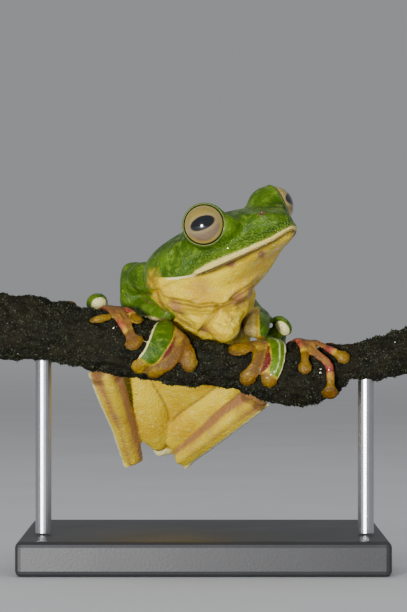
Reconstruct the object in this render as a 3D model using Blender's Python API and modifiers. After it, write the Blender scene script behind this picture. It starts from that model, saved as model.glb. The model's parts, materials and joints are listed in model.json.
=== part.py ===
"""Malabar gliding frog gripping a short cut length of branch, on a plain display stand, life size.

The frog is modelled in millimetres and built in metres. X runs to the viewer's right,
Y runs away from the viewer, Z is up, and the origin is the middle of the stand's underside.
"Depth" is measured from the branch's axis, away from the viewer. "Right" and "left" are the frog's own.
"""

import math

import bmesh
import bpy
from mathutils import Matrix, Vector

MM = 0.001
GAP = 0.3
DEPTH_OF_BRANCH = -12.0

# The stand
BASE_WIDTH = 64.0
BASE_DEPTH = 62.0
BASE_HEIGHT = 6.0
BASE_EDGE_ROUND = 1.0
ROD_RADIUS = 1.4
ROD_PLACES = {"left": -28.0, "right": 28.4}

# The branch: place along X, height of the axis, radius
BRANCH = [
    (-36.5, 42.4, 5.6), (-28.6, 42.0, 5.3), (-21.5, 40.6, 5.0), (-14.6, 39.4, 5.4), (-7.6, 37.8, 4.8),
    (-3.6, 36.4, 4.4), (1.0, 36.0, 3.7), (6.0, 35.2, 3.7), (11.6, 34.3, 4.8), (17.0, 34.0, 5.3),
    (20.6, 34.4, 4.5), (24.8, 36.2, 3.1), (29.0, 36.6, 3.5), (36.5, 38.4, 3.9),
]

# The head, from the tip of the snout backwards
SNOUT_TIP = (15.1, -13.0, 59.5)
HEAD_YAW = 47.0
HEAD_PITCH = 13.8
HEAD_ROLL = 11.5
# Distance behind the snout tip, half width at the lip, crown and mouth's line above the tip, throat below it
HEAD_SECTIONS = [
    (0.0, 0.9, 1.5, -0.3, 0.4), (0.6, 2.1, 2.6, -0.6, 0.6), (2.2, 3.7, 3.5, -1.2, 0.8),
    (5.0, 5.6, 4.5, -1.65, 1.0), (8.5, 7.6, 5.45, -2.15, 1.8), (12.5, 9.4, 6.2, -2.6, 3.8),
    (16.5, 10.8, 6.6, -2.75, 5.4), (20.5, 11.5, 6.7, -2.5, 6.6), (25.0, 11.0, 6.2, -2.4, 6.8),
    (29.0, 8.8, 4.9, -2.4, 5.6),
]
# How square the sections are: powers of their round outline, across and upwards
SECTION_POWERS = (0.85, 0.9)
LIP_OVERHANG = 1.1
MOUTH_LENGTH = 15.6
MOUTH_GROOVE = 0.4
MOUTH_DEPTH = 1.0
MOUTH_DROP = 0.2
LIP_RADIUS = 0.6
LIP_RISE = 0.5
EYE_BACK = 10.4
EYE_OUT = 9.5
EYE_UP = 4.85
EYE_RADIUS = 3.55
EYE_GAP = 0.25
EYE_FORWARD_TURN = 36.0
EYE_UPWARD_TURN = 7.0
DOME_RADIUS = 4.2
DOME_SINK = 0.8
BROW = (11.6, 6.6, 3.3)
BROW_RADII = (3.9, 5.8, 3.2)
LID_OUT = 1.15
LID_RING_RADIUS = 3.7
LID_OPENING = 3.5
LID_THICKNESS = 0.32
NOSTRIL = (3.3, 2.4, 3.8)
NOSTRIL_RADIUS = 0.5
NOSTRIL_BUMP = 1.1
TYMPANUM = (18.5, 10.6, 0.9)
TYMPANUM_RADIUS = 1.8
TYMPANUM_THICKNESS = 0.35
THROAT = ((0.5, -3.5, 50.5), (8.4, 5.6, 5.5))

# The trunk: place on its axis, half width, half thickness
TRUNK = [
    (1.0, 0.5, 53.0, 8.2, 6.0), (-0.6, 6.5, 49.5, 9.8, 7.3), (-1.6, 12.6, 43.0, 10.4, 7.8),
    (-3.4, 20.0, 35.5, 9.6, 7.2), (-4.9, 25.6, 28.6, 7.2, 5.2), (-6.4, 28.6, 23.4, 4.6, 3.5),
    (-7.2, 29.6, 21.0, 3.0, 2.4),
]
# Chest, both shoulders and the fold under the vent: centre, radii
MASSES = [
    ((2.0, 1.2, 45.4), (8.4, 5.0, 5.8)),
    ((-6.2, 5.0, 50.4), (3.6, 4.0, 3.8)),
    ((5.4, 7.0, 48.0), (4.0, 4.2, 3.8)),
    ((-8.0, 28.6, 19.6), (1.7, 1.3, 1.0)),
]
NECK_POINT = (3.0, -3.0, 47.0)
NECK_NORMAL = (-0.3, 0.35, -0.89)

# The limbs: place, half width, half thickness
UPPER_ARMS = {
    "right": [(-7.6, 3.8, 50.6, 2.8, 2.8), (-10.8, 6.8, 51.0, 2.8, 2.8), (-12.4, 10.4, 49.4, 2.6, 2.6)],
    "left": [(5.6, 6.0, 47.8, 2.8, 2.8), (7.6, 12.0, 47.2, 2.6, 2.6), (9.2, 16.6, 45.2, 2.3, 2.3)],
}
FOREARMS = {
    "right": [(-12.6, 12.0, 47.2, 2.5, 2.5), (-11.2, 8.4, 45.6, 2.4, 2.2), (-8.2, 4.2, 44.6, 1.8, 1.6),
              (-6.8, 2.0, 43.9, 1.5, 1.3)],
    "left": [(9.2, 17.4, 44.0, 2.3, 2.3), (9.8, 11.0, 43.2, 2.4, 2.2), (10.1, 5.4, 42.0, 1.8, 1.6),
             (10.3, 2.6, 41.4, 1.5, 1.3)],
}
THIGHS = {
    "right": [(-8.4, 26.6, 21.0, 1.7, 1.6), (-9.4, 23.3, 25.0, 3.2, 2.8), (-10.8, 19.5, 30.0, 3.6, 3.1),
              (-12.8, 16.6, 35.5, 3.1, 2.9), (-16.0, 13.6, 41.2, 2.5, 2.4), (-18.6, 11.0, 46.2, 2.0, 2.0)],
    "left": [(-5.4, 26.4, 21.4, 1.7, 1.6), (-3.6, 23.4, 24.2, 2.6, 2.5), (-0.8, 20.2, 27.4, 3.0, 2.7),
             (3.6, 16.8, 31.0, 3.0, 2.6), (9.0, 13.6, 36.5, 2.3, 2.3), (14.0, 11.2, 42.3, 1.8, 2.0)],
}
SHANKS = {
    "right": [(-19.4, 13.8, 45.2, 1.8, 1.8), (-19.2, 18.8, 38.0, 2.2, 2.2), (-16.6, 23.6, 29.5, 2.1, 2.1),
              (-14.2, 27.6, 20.4, 1.5, 1.5)],
    "left": [(14.6, 13.6, 41.4, 1.7, 1.8), (11.8, 19.2, 35.5, 2.1, 2.2), (5.0, 24.2, 28.2, 2.0, 2.1),
             (-2.0, 29.0, 20.8, 1.5, 1.5)],
}
TARSI = {
    "right": [(-13.0, 26.0, 18.6, 2.0, 1.5), (-14.5, 19.5, 24.5, 2.3, 1.5), (-16.1, 13.0, 29.8, 2.8, 1.4),
              (-17.4, 8.6, 34.2, 3.1, 1.3)],
    "left": [(-3.8, 26.0, 18.6, 2.0, 1.5), (0.8, 20.0, 22.4, 2.2, 1.5), (5.4, 14.6, 26.4, 2.5, 1.4),
             (9.2, 10.6, 29.6, 2.6, 1.3)],
}
# The skin flap at each heel, from one corner to the other
HEEL_FLAPS = {
    "right": [(-14.6, 26.4, 17.2), (-11.4, 26.4, 18.6)],
    "left": [(-2.6, 26.4, 16.8), (-5.0, 26.4, 19.6)],
}
FLAP_WIDTH = 1.1
FLAP_THICKNESS = 0.35
FRINGE_WIDTH = 0.6
FRINGE_THICKNESS = 0.35
# The fringe's place on a tarsus, as shares of its half width: outwards, and down
FRINGE_OUT = 0.9
FRINGE_DROP = {"right": 0.0, "left": 0.4}

# Digits over the branch: place along X, angle round it, half width; then the disc: X, angle, lift, radius
DIGIT_THICKNESS = 0.85
DISC_THICKNESS = 0.75
DISC_LENGTH = 1.05
# How a digit narrows and thins inside its disc
DIGIT_TAPER = (0.9, 0.8)
HANDS = {
    "right": {
        "four": ([(-6.5, 4, 1.4), (-6.5, 24, 1.8), (-7.3, 60, 2.0), (-8.6, 86, 1.8), (-10.0, 106, 1.5)],
                 (-11.1, 120, 0.0, 1.8)),
        "three": ([(-5.8, 14, 1.2), (-4.4, 40, 1.3), (-4.6, 64, 1.3), (-5.8, 90, 1.2), (-7.3, 110, 1.0)],
                  (-9.0, 131, 0.0, 1.7)),
        "two": ([(-5.4, 14, 1.1), (-3.6, 38, 1.0), (-2.8, 62, 0.9), (-2.5, 78, 0.9)], (-2.5, 92, 0.0, 1.6)),
        "one": ([(-6.6, 6, 1.1), (-8.4, -16, 1.0), (-9.6, -32, 0.9)], (-10.2, -42, 0.0, 1.4)),
    },
    "left": {
        "four": ([(10.9, 6, 1.4), (12.6, 30, 1.8), (13.3, 55, 1.7), (13.3, 83, 1.4), (12.4, 100, 1.2)],
                 (11.6, 109, 0.0, 1.8)),
        "three": ([(10.2, 8, 1.3), (9.9, 35, 1.4), (9.4, 63, 1.3), (8.8, 90, 1.1)], (7.7, 115, 0.0, 1.75)),
        "two": ([(9.6, 8, 1.1), (7.8, 26, 1.0), (6.6, 36, 0.9)], (5.2, 44, 0.0, 1.8)),
        "one": ([(10.2, -4, 1.1), (10.8, -24, 0.9), (11.4, -40, 0.9)], (11.8, -50, 0.0, 1.4)),
    },
}
FEET = {
    "right": {
        "sole": ([(-18.2, -112, 1.9), (-18.0, -85, 1.8), (-17.4, -50, 1.7), (-16.8, -20, 1.6),
                  (-16.4, 0, 1.4)],
                 None),
        "one": ([(-16.8, -14, 1.1), (-15.8, 12, 1.0), (-15.9, 30, 0.9), (-16.8, 42, 0.9)],
                (-17.9, 50, 0.0, 1.6)),
        "two": ([(-17.2, -14, 1.1), (-17.0, 14, 1.0), (-15.7, 38, 1.0), (-14.4, 58, 1.0), (-13.2, 74, 1.0)],
                (-12.3, 84, 0.0, 1.9)),
        "three": ([(-16.4, -10, 1.1), (-14.6, 20, 1.0), (-13.5, 42, 1.0), (-12.8, 62, 1.0), (-12.4, 76, 1.0)],
                  None),
        "four": ([(-16.4, -16, 1.1), (-14.4, -2, 1.0), (-12.6, 20, 0.9)], (-11.8, 36, 0.0, 1.3)),
        "five": ([(-17.6, -56, 1.1), (-20.2, -50, 1.0), (-22.4, -38, 0.9)], (-23.6, -30, 0.0, 1.6)),
    },
    "left": {
        "sole": ([(10.6, -122, 1.9), (12.4, -98, 1.8), (14.6, -65, 1.7), (16.2, -30, 1.6), (16.8, -6, 1.4)],
                 None),
        "one": ([(16.4, -20, 1.1), (16.8, 16, 1.0), (17.6, 44, 0.9), (17.7, 64, 0.9)], (17.7, 82, 0.0, 1.6)),
        "two": ([(16.8, -16, 1.1), (18.0, 22, 1.1), (19.4, 50, 1.1), (21.8, 72, 1.0), (22.3, 98, 1.0)],
                (22.3, 134, 1.4, 1.6)),
        "three": ([(17.0, -22, 1.1), (19.6, 18, 1.0), (21.8, 40, 1.0), (23.6, 56, 0.9)],
                  (25.1, 78, 0.0, 1.6)),
        "four": ([(15.4, -54, 1.1), (18.4, -52, 1.0), (20.8, -46, 0.9)], (22.2, -42, 0.0, 1.6)),
        "five": ([(13.2, -88, 1.1), (16.2, -96, 1.0), (18.8, -100, 0.9)], (20.2, -104, 0.0, 1.6)),
    },
}
# Webs: the two digits, how far along them the web starts and ends, and how deep its edge is scalloped
WEB_THICKNESS = 0.7
WEB_LIFT = 0.3
WEBS = {
    "right_hand": [("four", "three", 0.3, 0.85, 0.1), ("three", "two", 0.2, 0.6, 0.2)],
    "left_hand": [("four", "three", 0.2, 0.9, 0.1), ("three", "two", 0.1, 0.6, 0.2)],
    "right_foot": [("one", "two", 0.2, 0.6, 0.2), ("two", "three", 0.2, 0.9, 0.1),
                   ("three", "four", 0.1, 0.6, 0.3)],
    "left_foot": [("one", "two", 0.2, 0.8, 0.25), ("two", "three", 0.2, 0.7, 0.25)],
}

# Voxel and triangle budgets
TRUNK_VOXEL = 0.55
TRUNK_SMOOTHING = 4
TRUNK_TRIANGLES = 2400
SHARP_ANGLE = 50.0


def turn(vector, axis, degrees):
    """The vector turned about the axis."""
    return Matrix.Rotation(math.radians(degrees), 3, axis) @ vector


def head_axes():
    """Forward, right and up of the head."""
    yaw = math.radians(HEAD_YAW)
    pitch = math.radians(HEAD_PITCH)
    forward = Vector((math.sin(yaw) * math.cos(pitch), -math.cos(yaw) * math.cos(pitch), math.sin(pitch)))
    right = Vector((-math.cos(yaw), -math.sin(yaw), 0.0))
    right = turn(right, forward, HEAD_ROLL)
    return forward, right, right.cross(forward)


HEAD_FORWARD, HEAD_RIGHT, HEAD_UP = head_axes()


def in_head(back, right, up):
    """A point of the head, given from the tip of the snout."""
    return Vector(SNOUT_TIP) - HEAD_FORWARD * back + HEAD_RIGHT * right + HEAD_UP * up


def world(point):
    """A point in millimetres, with depth from the branch, as metres in the part's frame."""
    return Vector((point[0], point[1] + DEPTH_OF_BRANCH, point[2])) * MM


def spline(stations, place):
    """Catmull-Rom through rows of numbers; place runs from 0 to the number of rows less 1."""
    last = len(stations) - 1
    i = min(int(place), last - 1)
    t = place - i
    rows = [stations[max(i - 1, 0)], stations[i], stations[i + 1], stations[min(i + 2, last)]]
    weights = (
        (-t ** 3 + 2 * t ** 2 - t) / 2,
        (3 * t ** 3 - 5 * t ** 2 + 2) / 2,
        (-3 * t ** 3 + 4 * t ** 2 + t) / 2,
        (t ** 3 - t ** 2) / 2,
    )
    return [sum(w * row[k] for w, row in zip(weights, rows)) for k in range(len(rows[0]))]


def at_abscissa(stations, x):
    """The row of a table of stations at this first value, between rows by a straight line."""
    for low, high in zip(stations, stations[1:]):
        if x <= high[0]:
            break
    share = min(max((x - low[0]) / (high[0] - low[0]), 0.0), 1.0)
    return [a + (b - a) * share for a, b in zip(low, high)]


def on_branch(x, angle, lift):
    """A point over the branch: angle 0 is its top, 90 its front, and lift is the height over its surface."""
    _, height, radius = at_abscissa(BRANCH, x)
    turned = math.radians(angle)
    out = Vector((0.0, -math.sin(turned), math.cos(turned)))
    return Vector((x, 0.0, height)) + out * (radius + lift), out


def new_object(name, mesh_builder, collection):
    """An object of this name with the mesh that mesh_builder makes in a bmesh."""
    mesh = bpy.data.meshes.new(name)
    bm = bmesh.new()
    mesh_builder(bm)
    bmesh.ops.recalc_face_normals(bm, faces=bm.faces)
    bm.to_mesh(mesh)
    bm.free()
    obj = bpy.data.objects.new(name, mesh)
    collection.objects.link(obj)
    return obj


def sweep(name, stations, collection, sides=12, rings=10, up=(0.0, -1.0, 0.0), blunt=False):
    """A closed limb along stations of (x, depth, z, half width, half thickness[, up x, y, z]).

    Its ends are round, or flat when it is blunt.
    """
    rows = [list(s) + list(up) if len(s) == 5 else list(s) for s in stations]
    last = len(rows) - 1
    path = [spline(rows, last * i / rings) for i in range(rings + 1)]

    def frame(i):
        ahead = Vector(path[min(i + 1, rings)][:3])
        behind = Vector(path[max(i - 1, 0)][:3])
        along = (ahead - behind).normalized()
        side = along.cross(Vector(path[i][5:8])).normalized()
        return along, side, side.cross(along)

    def build(bm):
        loops = []
        cap = [] if blunt else [60.0, 30.0]
        places = [(0, a, -1.0) for a in cap] + [(i, 0.0, 0.0) for i in range(rings + 1)]
        places += [(rings, a, 1.0) for a in reversed(cap)]
        for i, bend, sign in places:
            along, side, top = frame(i)
            centre = Vector(path[i][:3])
            half_width, half_thick = path[i][3], path[i][4]
            shrink = math.cos(math.radians(bend))
            centre += along * sign * math.sin(math.radians(bend)) * half_thick
            loop = []
            for k in range(sides):
                a = 2 * math.pi * k / sides
                spread = side * math.cos(a) * half_width + top * math.sin(a) * half_thick
                loop.append(bm.verts.new(world(centre + spread * shrink)))
            loops.append(loop)
        for one, two in zip(loops, loops[1:]):
            for k in range(sides):
                bm.faces.new((one[k], one[(k + 1) % sides], two[(k + 1) % sides], two[k]))
        for i, loop, sign in ((0, loops[0], -1.0), (rings, loops[-1], 1.0)):
            along = frame(i)[0]
            reach = 0.0 if blunt else path[i][4]
            tip = bm.verts.new(world(Vector(path[i][:3]) + along * sign * reach))
            for k in range(sides):
                bm.faces.new((loop[k], loop[(k + 1) % sides], tip))

    return new_object(name, build, collection)


def ellipsoid(name, centre, radii, axes, collection, around=16, up_down=10):
    """A ball stretched to three radii along three axes."""
    frame = Matrix((axes[0], axes[1], axes[2])).transposed() @ Matrix.Diagonal(Vector(radii) * MM)

    def build(bm):
        matrix = Matrix.Translation(world(centre)) @ frame.to_4x4()
        bmesh.ops.create_uvsphere(bm, u_segments=around, v_segments=up_down, radius=1.0, matrix=matrix)

    return new_object(name, build, collection)


def ring(name, centre, axis, radius, thickness, collection, around=20, sides=6):
    """A torus about an axis."""
    turned = axis.to_track_quat("Z", "Y").to_matrix()

    def build(bm):
        loops = []
        for i in range(around):
            a = 2 * math.pi * i / around
            out = Vector((math.cos(a), math.sin(a), 0.0))
            loop = []
            for k in range(sides):
                b = 2 * math.pi * k / sides
                point = out * (radius + thickness * math.cos(b)) + Vector((0, 0, thickness * math.sin(b)))
                loop.append(bm.verts.new(world(Vector(centre) + turned @ point)))
            loops.append(loop)
        for i in range(around):
            one, two = loops[i], loops[(i + 1) % around]
            for k in range(sides):
                bm.faces.new((one[k], one[(k + 1) % sides], two[(k + 1) % sides], two[k]))

    return new_object(name, build, collection)


def evaluated_mesh(obj):
    """The object's mesh with its modifiers, as a mesh of its own."""
    graph = bpy.context.evaluated_depsgraph_get()
    return bpy.data.meshes.new_from_object(obj.evaluated_get(graph))


def apply_modifiers(obj):
    """The object keeps what its modifiers make, and loses them."""
    mesh = evaluated_mesh(obj)
    obj.modifiers.clear()
    obj.data = mesh
    return obj


def discard(collection):
    """The pieces of a collection are removed once they are joined."""
    for piece in list(collection.objects):
        bpy.data.objects.remove(piece)
    bpy.data.collections.remove(collection)


def keep_largest(obj):
    """Only the largest closed surface of the object stays."""
    bm = bmesh.new()
    bm.from_mesh(obj.data)
    left = set(bm.verts)
    shells = []
    while left:
        stack = [left.pop()]
        shell = set(stack)
        while stack:
            for edge in stack.pop().link_edges:
                for vert in edge.verts:
                    if vert in left:
                        left.remove(vert)
                        shell.add(vert)
                        stack.append(vert)
        shells.append(shell)
    shells.sort(key=len, reverse=True)
    loose = [vert for shell in shells[1:] for vert in shell]
    bmesh.ops.delete(bm, geom=loose, context="VERTS")
    bm.to_mesh(obj.data)
    bm.free()
    return obj


def joined(name, pieces, collection):
    """The collection's pieces as one object of several shells."""
    mesh = bpy.data.meshes.new(name)
    bm = bmesh.new()
    for piece in pieces.objects:
        bm.from_mesh(piece.data)
    bm.to_mesh(mesh)
    bm.free()
    obj = bpy.data.objects.new(name, mesh)
    collection.objects.link(obj)
    return obj


def flesh(name, pieces, collection, voxel, rounds, triangles):
    """Overlapping masses grown into one soft body: remeshed, smoothed and thinned."""
    obj = joined(name, pieces, collection)
    discard(pieces)
    remesh = obj.modifiers.new("grow", "REMESH")
    remesh.mode = "VOXEL"
    remesh.voxel_size = voxel * MM
    smooth = obj.modifiers.new("soften", "SMOOTH")
    smooth.factor = 0.5
    smooth.iterations = rounds
    apply_modifiers(obj)
    keep_largest(obj)
    thin = obj.modifiers.new("thin", "DECIMATE")
    count = sum(len(p.vertices) - 2 for p in obj.data.polygons)
    thin.ratio = min(1.0, triangles / count)
    return apply_modifiers(obj)


def unite(name, pieces, collection):
    """One Boolean union of a collection of closed pieces."""
    first = pieces.objects[0]
    obj = bpy.data.objects.new(name, first.data.copy())
    collection.objects.link(obj)
    bpy.data.objects.remove(first)
    union = obj.modifiers.new("unite", "BOOLEAN")
    union.operation = "UNION"
    union.operand_type = "COLLECTION"
    union.collection = pieces
    union.solver = "MANIFOLD"
    apply_modifiers(obj)
    discard(pieces)
    return keep_largest(obj)


def boolean(obj, other, operation, solver="EXACT"):
    """A Boolean of two closed meshes, applied."""
    cut = obj.modifiers.new(operation.lower(), "BOOLEAN")
    cut.operation = operation
    cut.object = other
    cut.solver = solver
    return apply_modifiers(obj)


def box_of(obj):
    """Lowest and highest corner of the object's mesh."""
    points = [vert.co for vert in obj.data.vertices]
    low = [min(point[k] for point in points) for k in range(3)]
    high = [max(point[k] for point in points) for k in range(3)]
    return low, high


def boxes_touch(one, two):
    """Whether two objects' boxes come within the gap of each other."""
    (low_one, high_one), (low_two, high_two) = box_of(one), box_of(two)
    gap = GAP * MM
    return all(low_one[k] < high_two[k] + gap and low_two[k] < high_one[k] + gap for k in range(3))


def make_room(obj, settled):
    """Cuts the object clear of the settled pieces near it, by the gap that touching pieces keep."""
    for neighbour in [piece for piece in settled if boxes_touch(obj, piece)]:
        cutter = bpy.data.objects.new("room", neighbour.data.copy())
        bpy.context.scene.collection.objects.link(cutter)
        swell = cutter.modifiers.new("swell", "DISPLACE")
        swell.mid_level = 0.0
        swell.strength = GAP * MM
        apply_modifiers(cutter)
        boolean(obj, cutter, "DIFFERENCE", "MANIFOLD")
        bpy.data.objects.remove(cutter)
    return keep_largest(obj)


def finish(obj, material):
    """Shading and colour of a node."""
    obj.data.materials.clear()
    obj.data.materials.append(material)
    obj.data.shade_smooth()
    obj.data.set_sharp_from_angle(angle=math.radians(SHARP_ANGLE))
    return obj


def make_material(name, colour, roughness):
    """A Principled material of one colour."""
    material = bpy.data.materials.new(name)
    material.use_nodes = True
    shader = material.node_tree.nodes["Principled BSDF"]
    shader.inputs["Base Color"].default_value = (*colour, 1.0)
    shader.inputs["Roughness"].default_value = roughness
    shader.inputs["Metallic"].default_value = 0.0
    return material


def new_pieces(name):
    """A collection for the pieces of one node."""
    collection = bpy.data.collections.new(name)
    bpy.context.scene.collection.children.link(collection)
    return collection


def lip_point(back, side, above):
    """A point on the edge of the lip, on the right (1) or left (-1)."""
    _, half_width, _, mouth, _ = at_abscissa(HEAD_SECTIONS, back)
    return in_head(back, side * half_width, mouth + above)


def lip_path(above, inset):
    """Stations round the lip from one corner of the mouth to the other, with outward directions."""
    backs = [MOUTH_LENGTH, 13.2, 10.6, 8.0, 5.5, 3.5, 2.0, 0.8]
    rows = [(back, 1.0) for back in backs] + [(0.0, 0.0)] + [(back, -1.0) for back in reversed(backs)]
    path = []
    for back, side in rows:
        point = lip_point(back, side, above)
        middle = in_head(back + 4.0, 0.0, above)
        outward = (point - middle).normalized()
        path.append((point - outward * inset, outward))
    return path


def lip_sweep(name, above, inset, half_width, half_thick, collection):
    """A bead round the lip, or a cutter for the groove of the mouth."""
    stations = [(*point, half_width, half_thick, *outward) for point, outward in lip_path(above, inset)]
    return sweep(name, stations, collection, sides=6, rings=24)


def head_loft(name, collection, around=28):
    """The head without eyes: crown and lip above the line of the mouth, jaw and throat below it."""
    def build(bm):
        loops = []
        for back, half_width, crown, mouth, throat in HEAD_SECTIONS:
            loop = []
            for k in range(around):
                a = 2 * math.pi * (k + 0.5) / around
                c, s = math.cos(a), math.sin(a)
                reach = half_width if s > 0 else half_width - LIP_OVERHANG
                height = crown - mouth if s > 0 else throat
                across = math.copysign(abs(c) ** SECTION_POWERS[0], c)
                up = math.copysign(abs(s) ** SECTION_POWERS[1], s)
                loop.append(bm.verts.new(world(in_head(back, across * reach, mouth + up * height))))
            loops.append(loop)
        for one, two in zip(loops, loops[1:]):
            for k in range(around):
                bm.faces.new((one[k], one[(k + 1) % around], two[(k + 1) % around], two[k]))
        bm.faces.new(loops[0])
        bm.faces.new(loops[-1])

    return new_object(name, build, collection)


def eye_place(side):
    """Centre of an eyeball and the direction it looks in."""
    turned = math.radians(EYE_FORWARD_TURN)
    raised = math.radians(EYE_UPWARD_TURN)
    level = HEAD_RIGHT * side * math.cos(turned) + HEAD_FORWARD * math.sin(turned)
    return in_head(EYE_BACK, side * EYE_OUT, EYE_UP), level * math.cos(raised) + HEAD_UP * math.sin(raised)


def split(obj, name, offset, collection, keep_front):
    """The part of a trunk on one side of the neck plane, closed by a flat face."""
    normal = Vector(NECK_NORMAL).normalized()
    place = world(Vector(NECK_POINT) + normal * offset)
    mesh = obj.data.copy()
    bm = bmesh.new()
    bm.from_mesh(mesh)
    geom = bm.verts[:] + bm.edges[:] + bm.faces[:]
    bmesh.ops.bisect_plane(bm, geom=geom, plane_co=place, plane_no=normal, clear_outer=keep_front,
                           clear_inner=not keep_front, dist=1e-7)
    edges = [e for e in bm.edges if e.is_boundary]
    bmesh.ops.holes_fill(bm, edges=edges, sides=0)
    bmesh.ops.triangulate(bm, faces=[f for f in bm.faces if len(f.verts) > 4])
    bmesh.ops.recalc_face_normals(bm, faces=bm.faces)
    bm.to_mesh(mesh)
    bm.free()
    piece = bpy.data.objects.new(name, mesh)
    collection.objects.link(piece)
    return keep_largest(piece)


def make_trunk(collection, cutters):
    """The head and the torso, grown as one and parted at the neck."""
    pieces = new_pieces("trunk pieces")
    axes = (HEAD_RIGHT, HEAD_FORWARD, HEAD_UP)
    plain = (Vector((1, 0, 0)), Vector((0, 1, 0)), Vector((0, 0, 1)))
    head_loft("head loft", pieces)
    lip_sweep("lip", LIP_RISE, LIP_RADIUS * 0.8, LIP_RADIUS, LIP_RADIUS, pieces)
    for side in (1, -1):
        centre, looks = eye_place(side)
        sunk = centre - looks * DOME_SINK
        ellipsoid("dome", sunk, [DOME_RADIUS] * 3, axes, pieces, 24, 16)
        ellipsoid("brow", in_head(BROW[0], side * BROW[1], BROW[2]), BROW_RADII, axes, pieces, 20, 12)
        nostril = in_head(NOSTRIL[0], side * NOSTRIL[1], NOSTRIL[2] - NOSTRIL_RADIUS)
        ellipsoid("nostril bump", nostril, [NOSTRIL_BUMP] * 3, axes, pieces)
    ellipsoid("throat", THROAT[0], THROAT[1], plain, pieces, 24, 16)
    sweep("torso sweep", TRUNK, pieces, sides=24, rings=24)
    for centre, radii in MASSES:
        ellipsoid("mass", centre, radii, plain, pieces, 24, 16)
    trunk = flesh("trunk", pieces, cutters, TRUNK_VOXEL, TRUNK_SMOOTHING, TRUNK_TRIANGLES)
    head = split(trunk, "head", -GAP / 2, collection, keep_front=True)
    torso = split(trunk, "torso", GAP / 2, collection, keep_front=False)
    bpy.data.objects.remove(trunk)
    return head, torso


def carve_face(head, cutters):
    """Raises lids and eardrums on the head, and cuts its sockets, nostrils and the line of the mouth."""
    axes = (HEAD_RIGHT, HEAD_FORWARD, HEAD_UP)
    for side in (1, -1):
        centre, looks = eye_place(side)
        lid_place = centre + looks * LID_OUT
        lid = ring("lid", lid_place, looks, LID_RING_RADIUS, LID_THICKNESS, cutters, 24, 6)
        boolean(head, lid, "UNION")
        drum_place = in_head(TYMPANUM[0], side * TYMPANUM[1], TYMPANUM[2])
        outwards = HEAD_RIGHT * side
        drum = ring("drum", drum_place, outwards, TYMPANUM_RADIUS, TYMPANUM_THICKNESS, cutters, 14, 5)
        boolean(head, drum, "UNION")
        socket = ellipsoid("socket", centre, [EYE_RADIUS + EYE_GAP] * 3, axes, cutters, 20, 12)
        boolean(head, socket, "DIFFERENCE")
        reaches = (LID_OUT, LID_OUT + EYE_RADIUS / 2, LID_OUT + EYE_RADIUS)
        stations = [(*(centre + looks * reach), LID_OPENING, LID_OPENING) for reach in reaches]
        opening = sweep("opening", stations, cutters, sides=24, rings=2, blunt=True)
        boolean(head, opening, "DIFFERENCE")
        pit_place = in_head(NOSTRIL[0] - GAP, side * (NOSTRIL[1] + GAP), NOSTRIL[2] + GAP)
        pit = ellipsoid("pit", pit_place, [NOSTRIL_RADIUS] * 3, axes, cutters, 8, 6)
        boolean(head, pit, "DIFFERENCE")
    groove = lip_sweep("mouth", -MOUTH_DROP, 0.0, MOUTH_GROOVE, MOUTH_DEPTH, cutters)
    boolean(head, groove, "DIFFERENCE")
    for cutter in list(cutters.objects):
        bpy.data.objects.remove(cutter)
    return keep_largest(head)


def digit_rows(stations):
    """Stations of a digit as places over the branch, with the outward direction there."""
    rows = []
    for x, angle, half_width in stations:
        centre, out = on_branch(x, angle, GAP + DIGIT_THICKNESS)
        rows.append((*centre, half_width, DIGIT_THICKNESS, *out))
    return rows


def tip_row(tip, half_width):
    """The last station of a digit, inside its disc."""
    centre, out = on_branch(tip[0], tip[1], GAP + DISC_THICKNESS + tip[2])
    return (*centre, half_width * DIGIT_TAPER[0], DISC_THICKNESS * DIGIT_TAPER[1], *out)


def disc(name, before, tip, pieces):
    """The flat disc at a digit's end, turned along the digit from the station before it."""
    *place, _, _, across, depth, height = tip_row(tip, 1.0)
    centre, out = Vector(place), Vector((across, depth, height))
    side = (centre - Vector(before[:3])).cross(out).normalized()
    radii = (tip[3], tip[3] * DISC_LENGTH, DISC_THICKNESS)
    ellipsoid(name, centre, radii, (side, out.cross(side), out), pieces, 8, 6)


def web(name, first, second, start, end, scallop, pieces, along=5, across=2):
    """A thin sheet over the branch between two digits, with a scalloped free edge."""
    def point(t, share, lift):
        rows = [spline(s, t * (len(s) - 1)) for s in (first, second)]
        x, angle = [a + (b - a) * share for a, b in zip(rows[0][:2], rows[1][:2])]
        return world(on_branch(x, angle, lift)[0])

    def build(bm):
        faces = []
        for lift in (GAP + WEB_LIFT, GAP + WEB_LIFT + WEB_THICKNESS):
            grid = []
            for i in range(along + 1):
                row = []
                for j in range(across + 1):
                    share = j / across
                    stop = end - scallop * 4 * share * (1 - share)
                    t = start + (stop - start) * i / along
                    row.append(bm.verts.new(point(t, share, lift)))
                grid.append(row)
            faces.append(grid)
        low, high = faces
        rim = [(0, j) for j in range(across)] + [(i, across) for i in range(along)]
        rim += [(along, j) for j in range(across, 0, -1)] + [(i, 0) for i in range(along, 0, -1)]
        for grid in (low, high):
            for i in range(along):
                for j in range(across):
                    bm.faces.new((grid[i][j], grid[i + 1][j], grid[i + 1][j + 1]))
                    bm.faces.new((grid[i][j], grid[i + 1][j + 1], grid[i][j + 1]))
        for (a, b), (c, d) in zip(rim, rim[1:] + rim[:1]):
            bm.faces.new((low[a][b], low[c][d], high[c][d], high[a][b]))

    return new_object(name, build, pieces)


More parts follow.
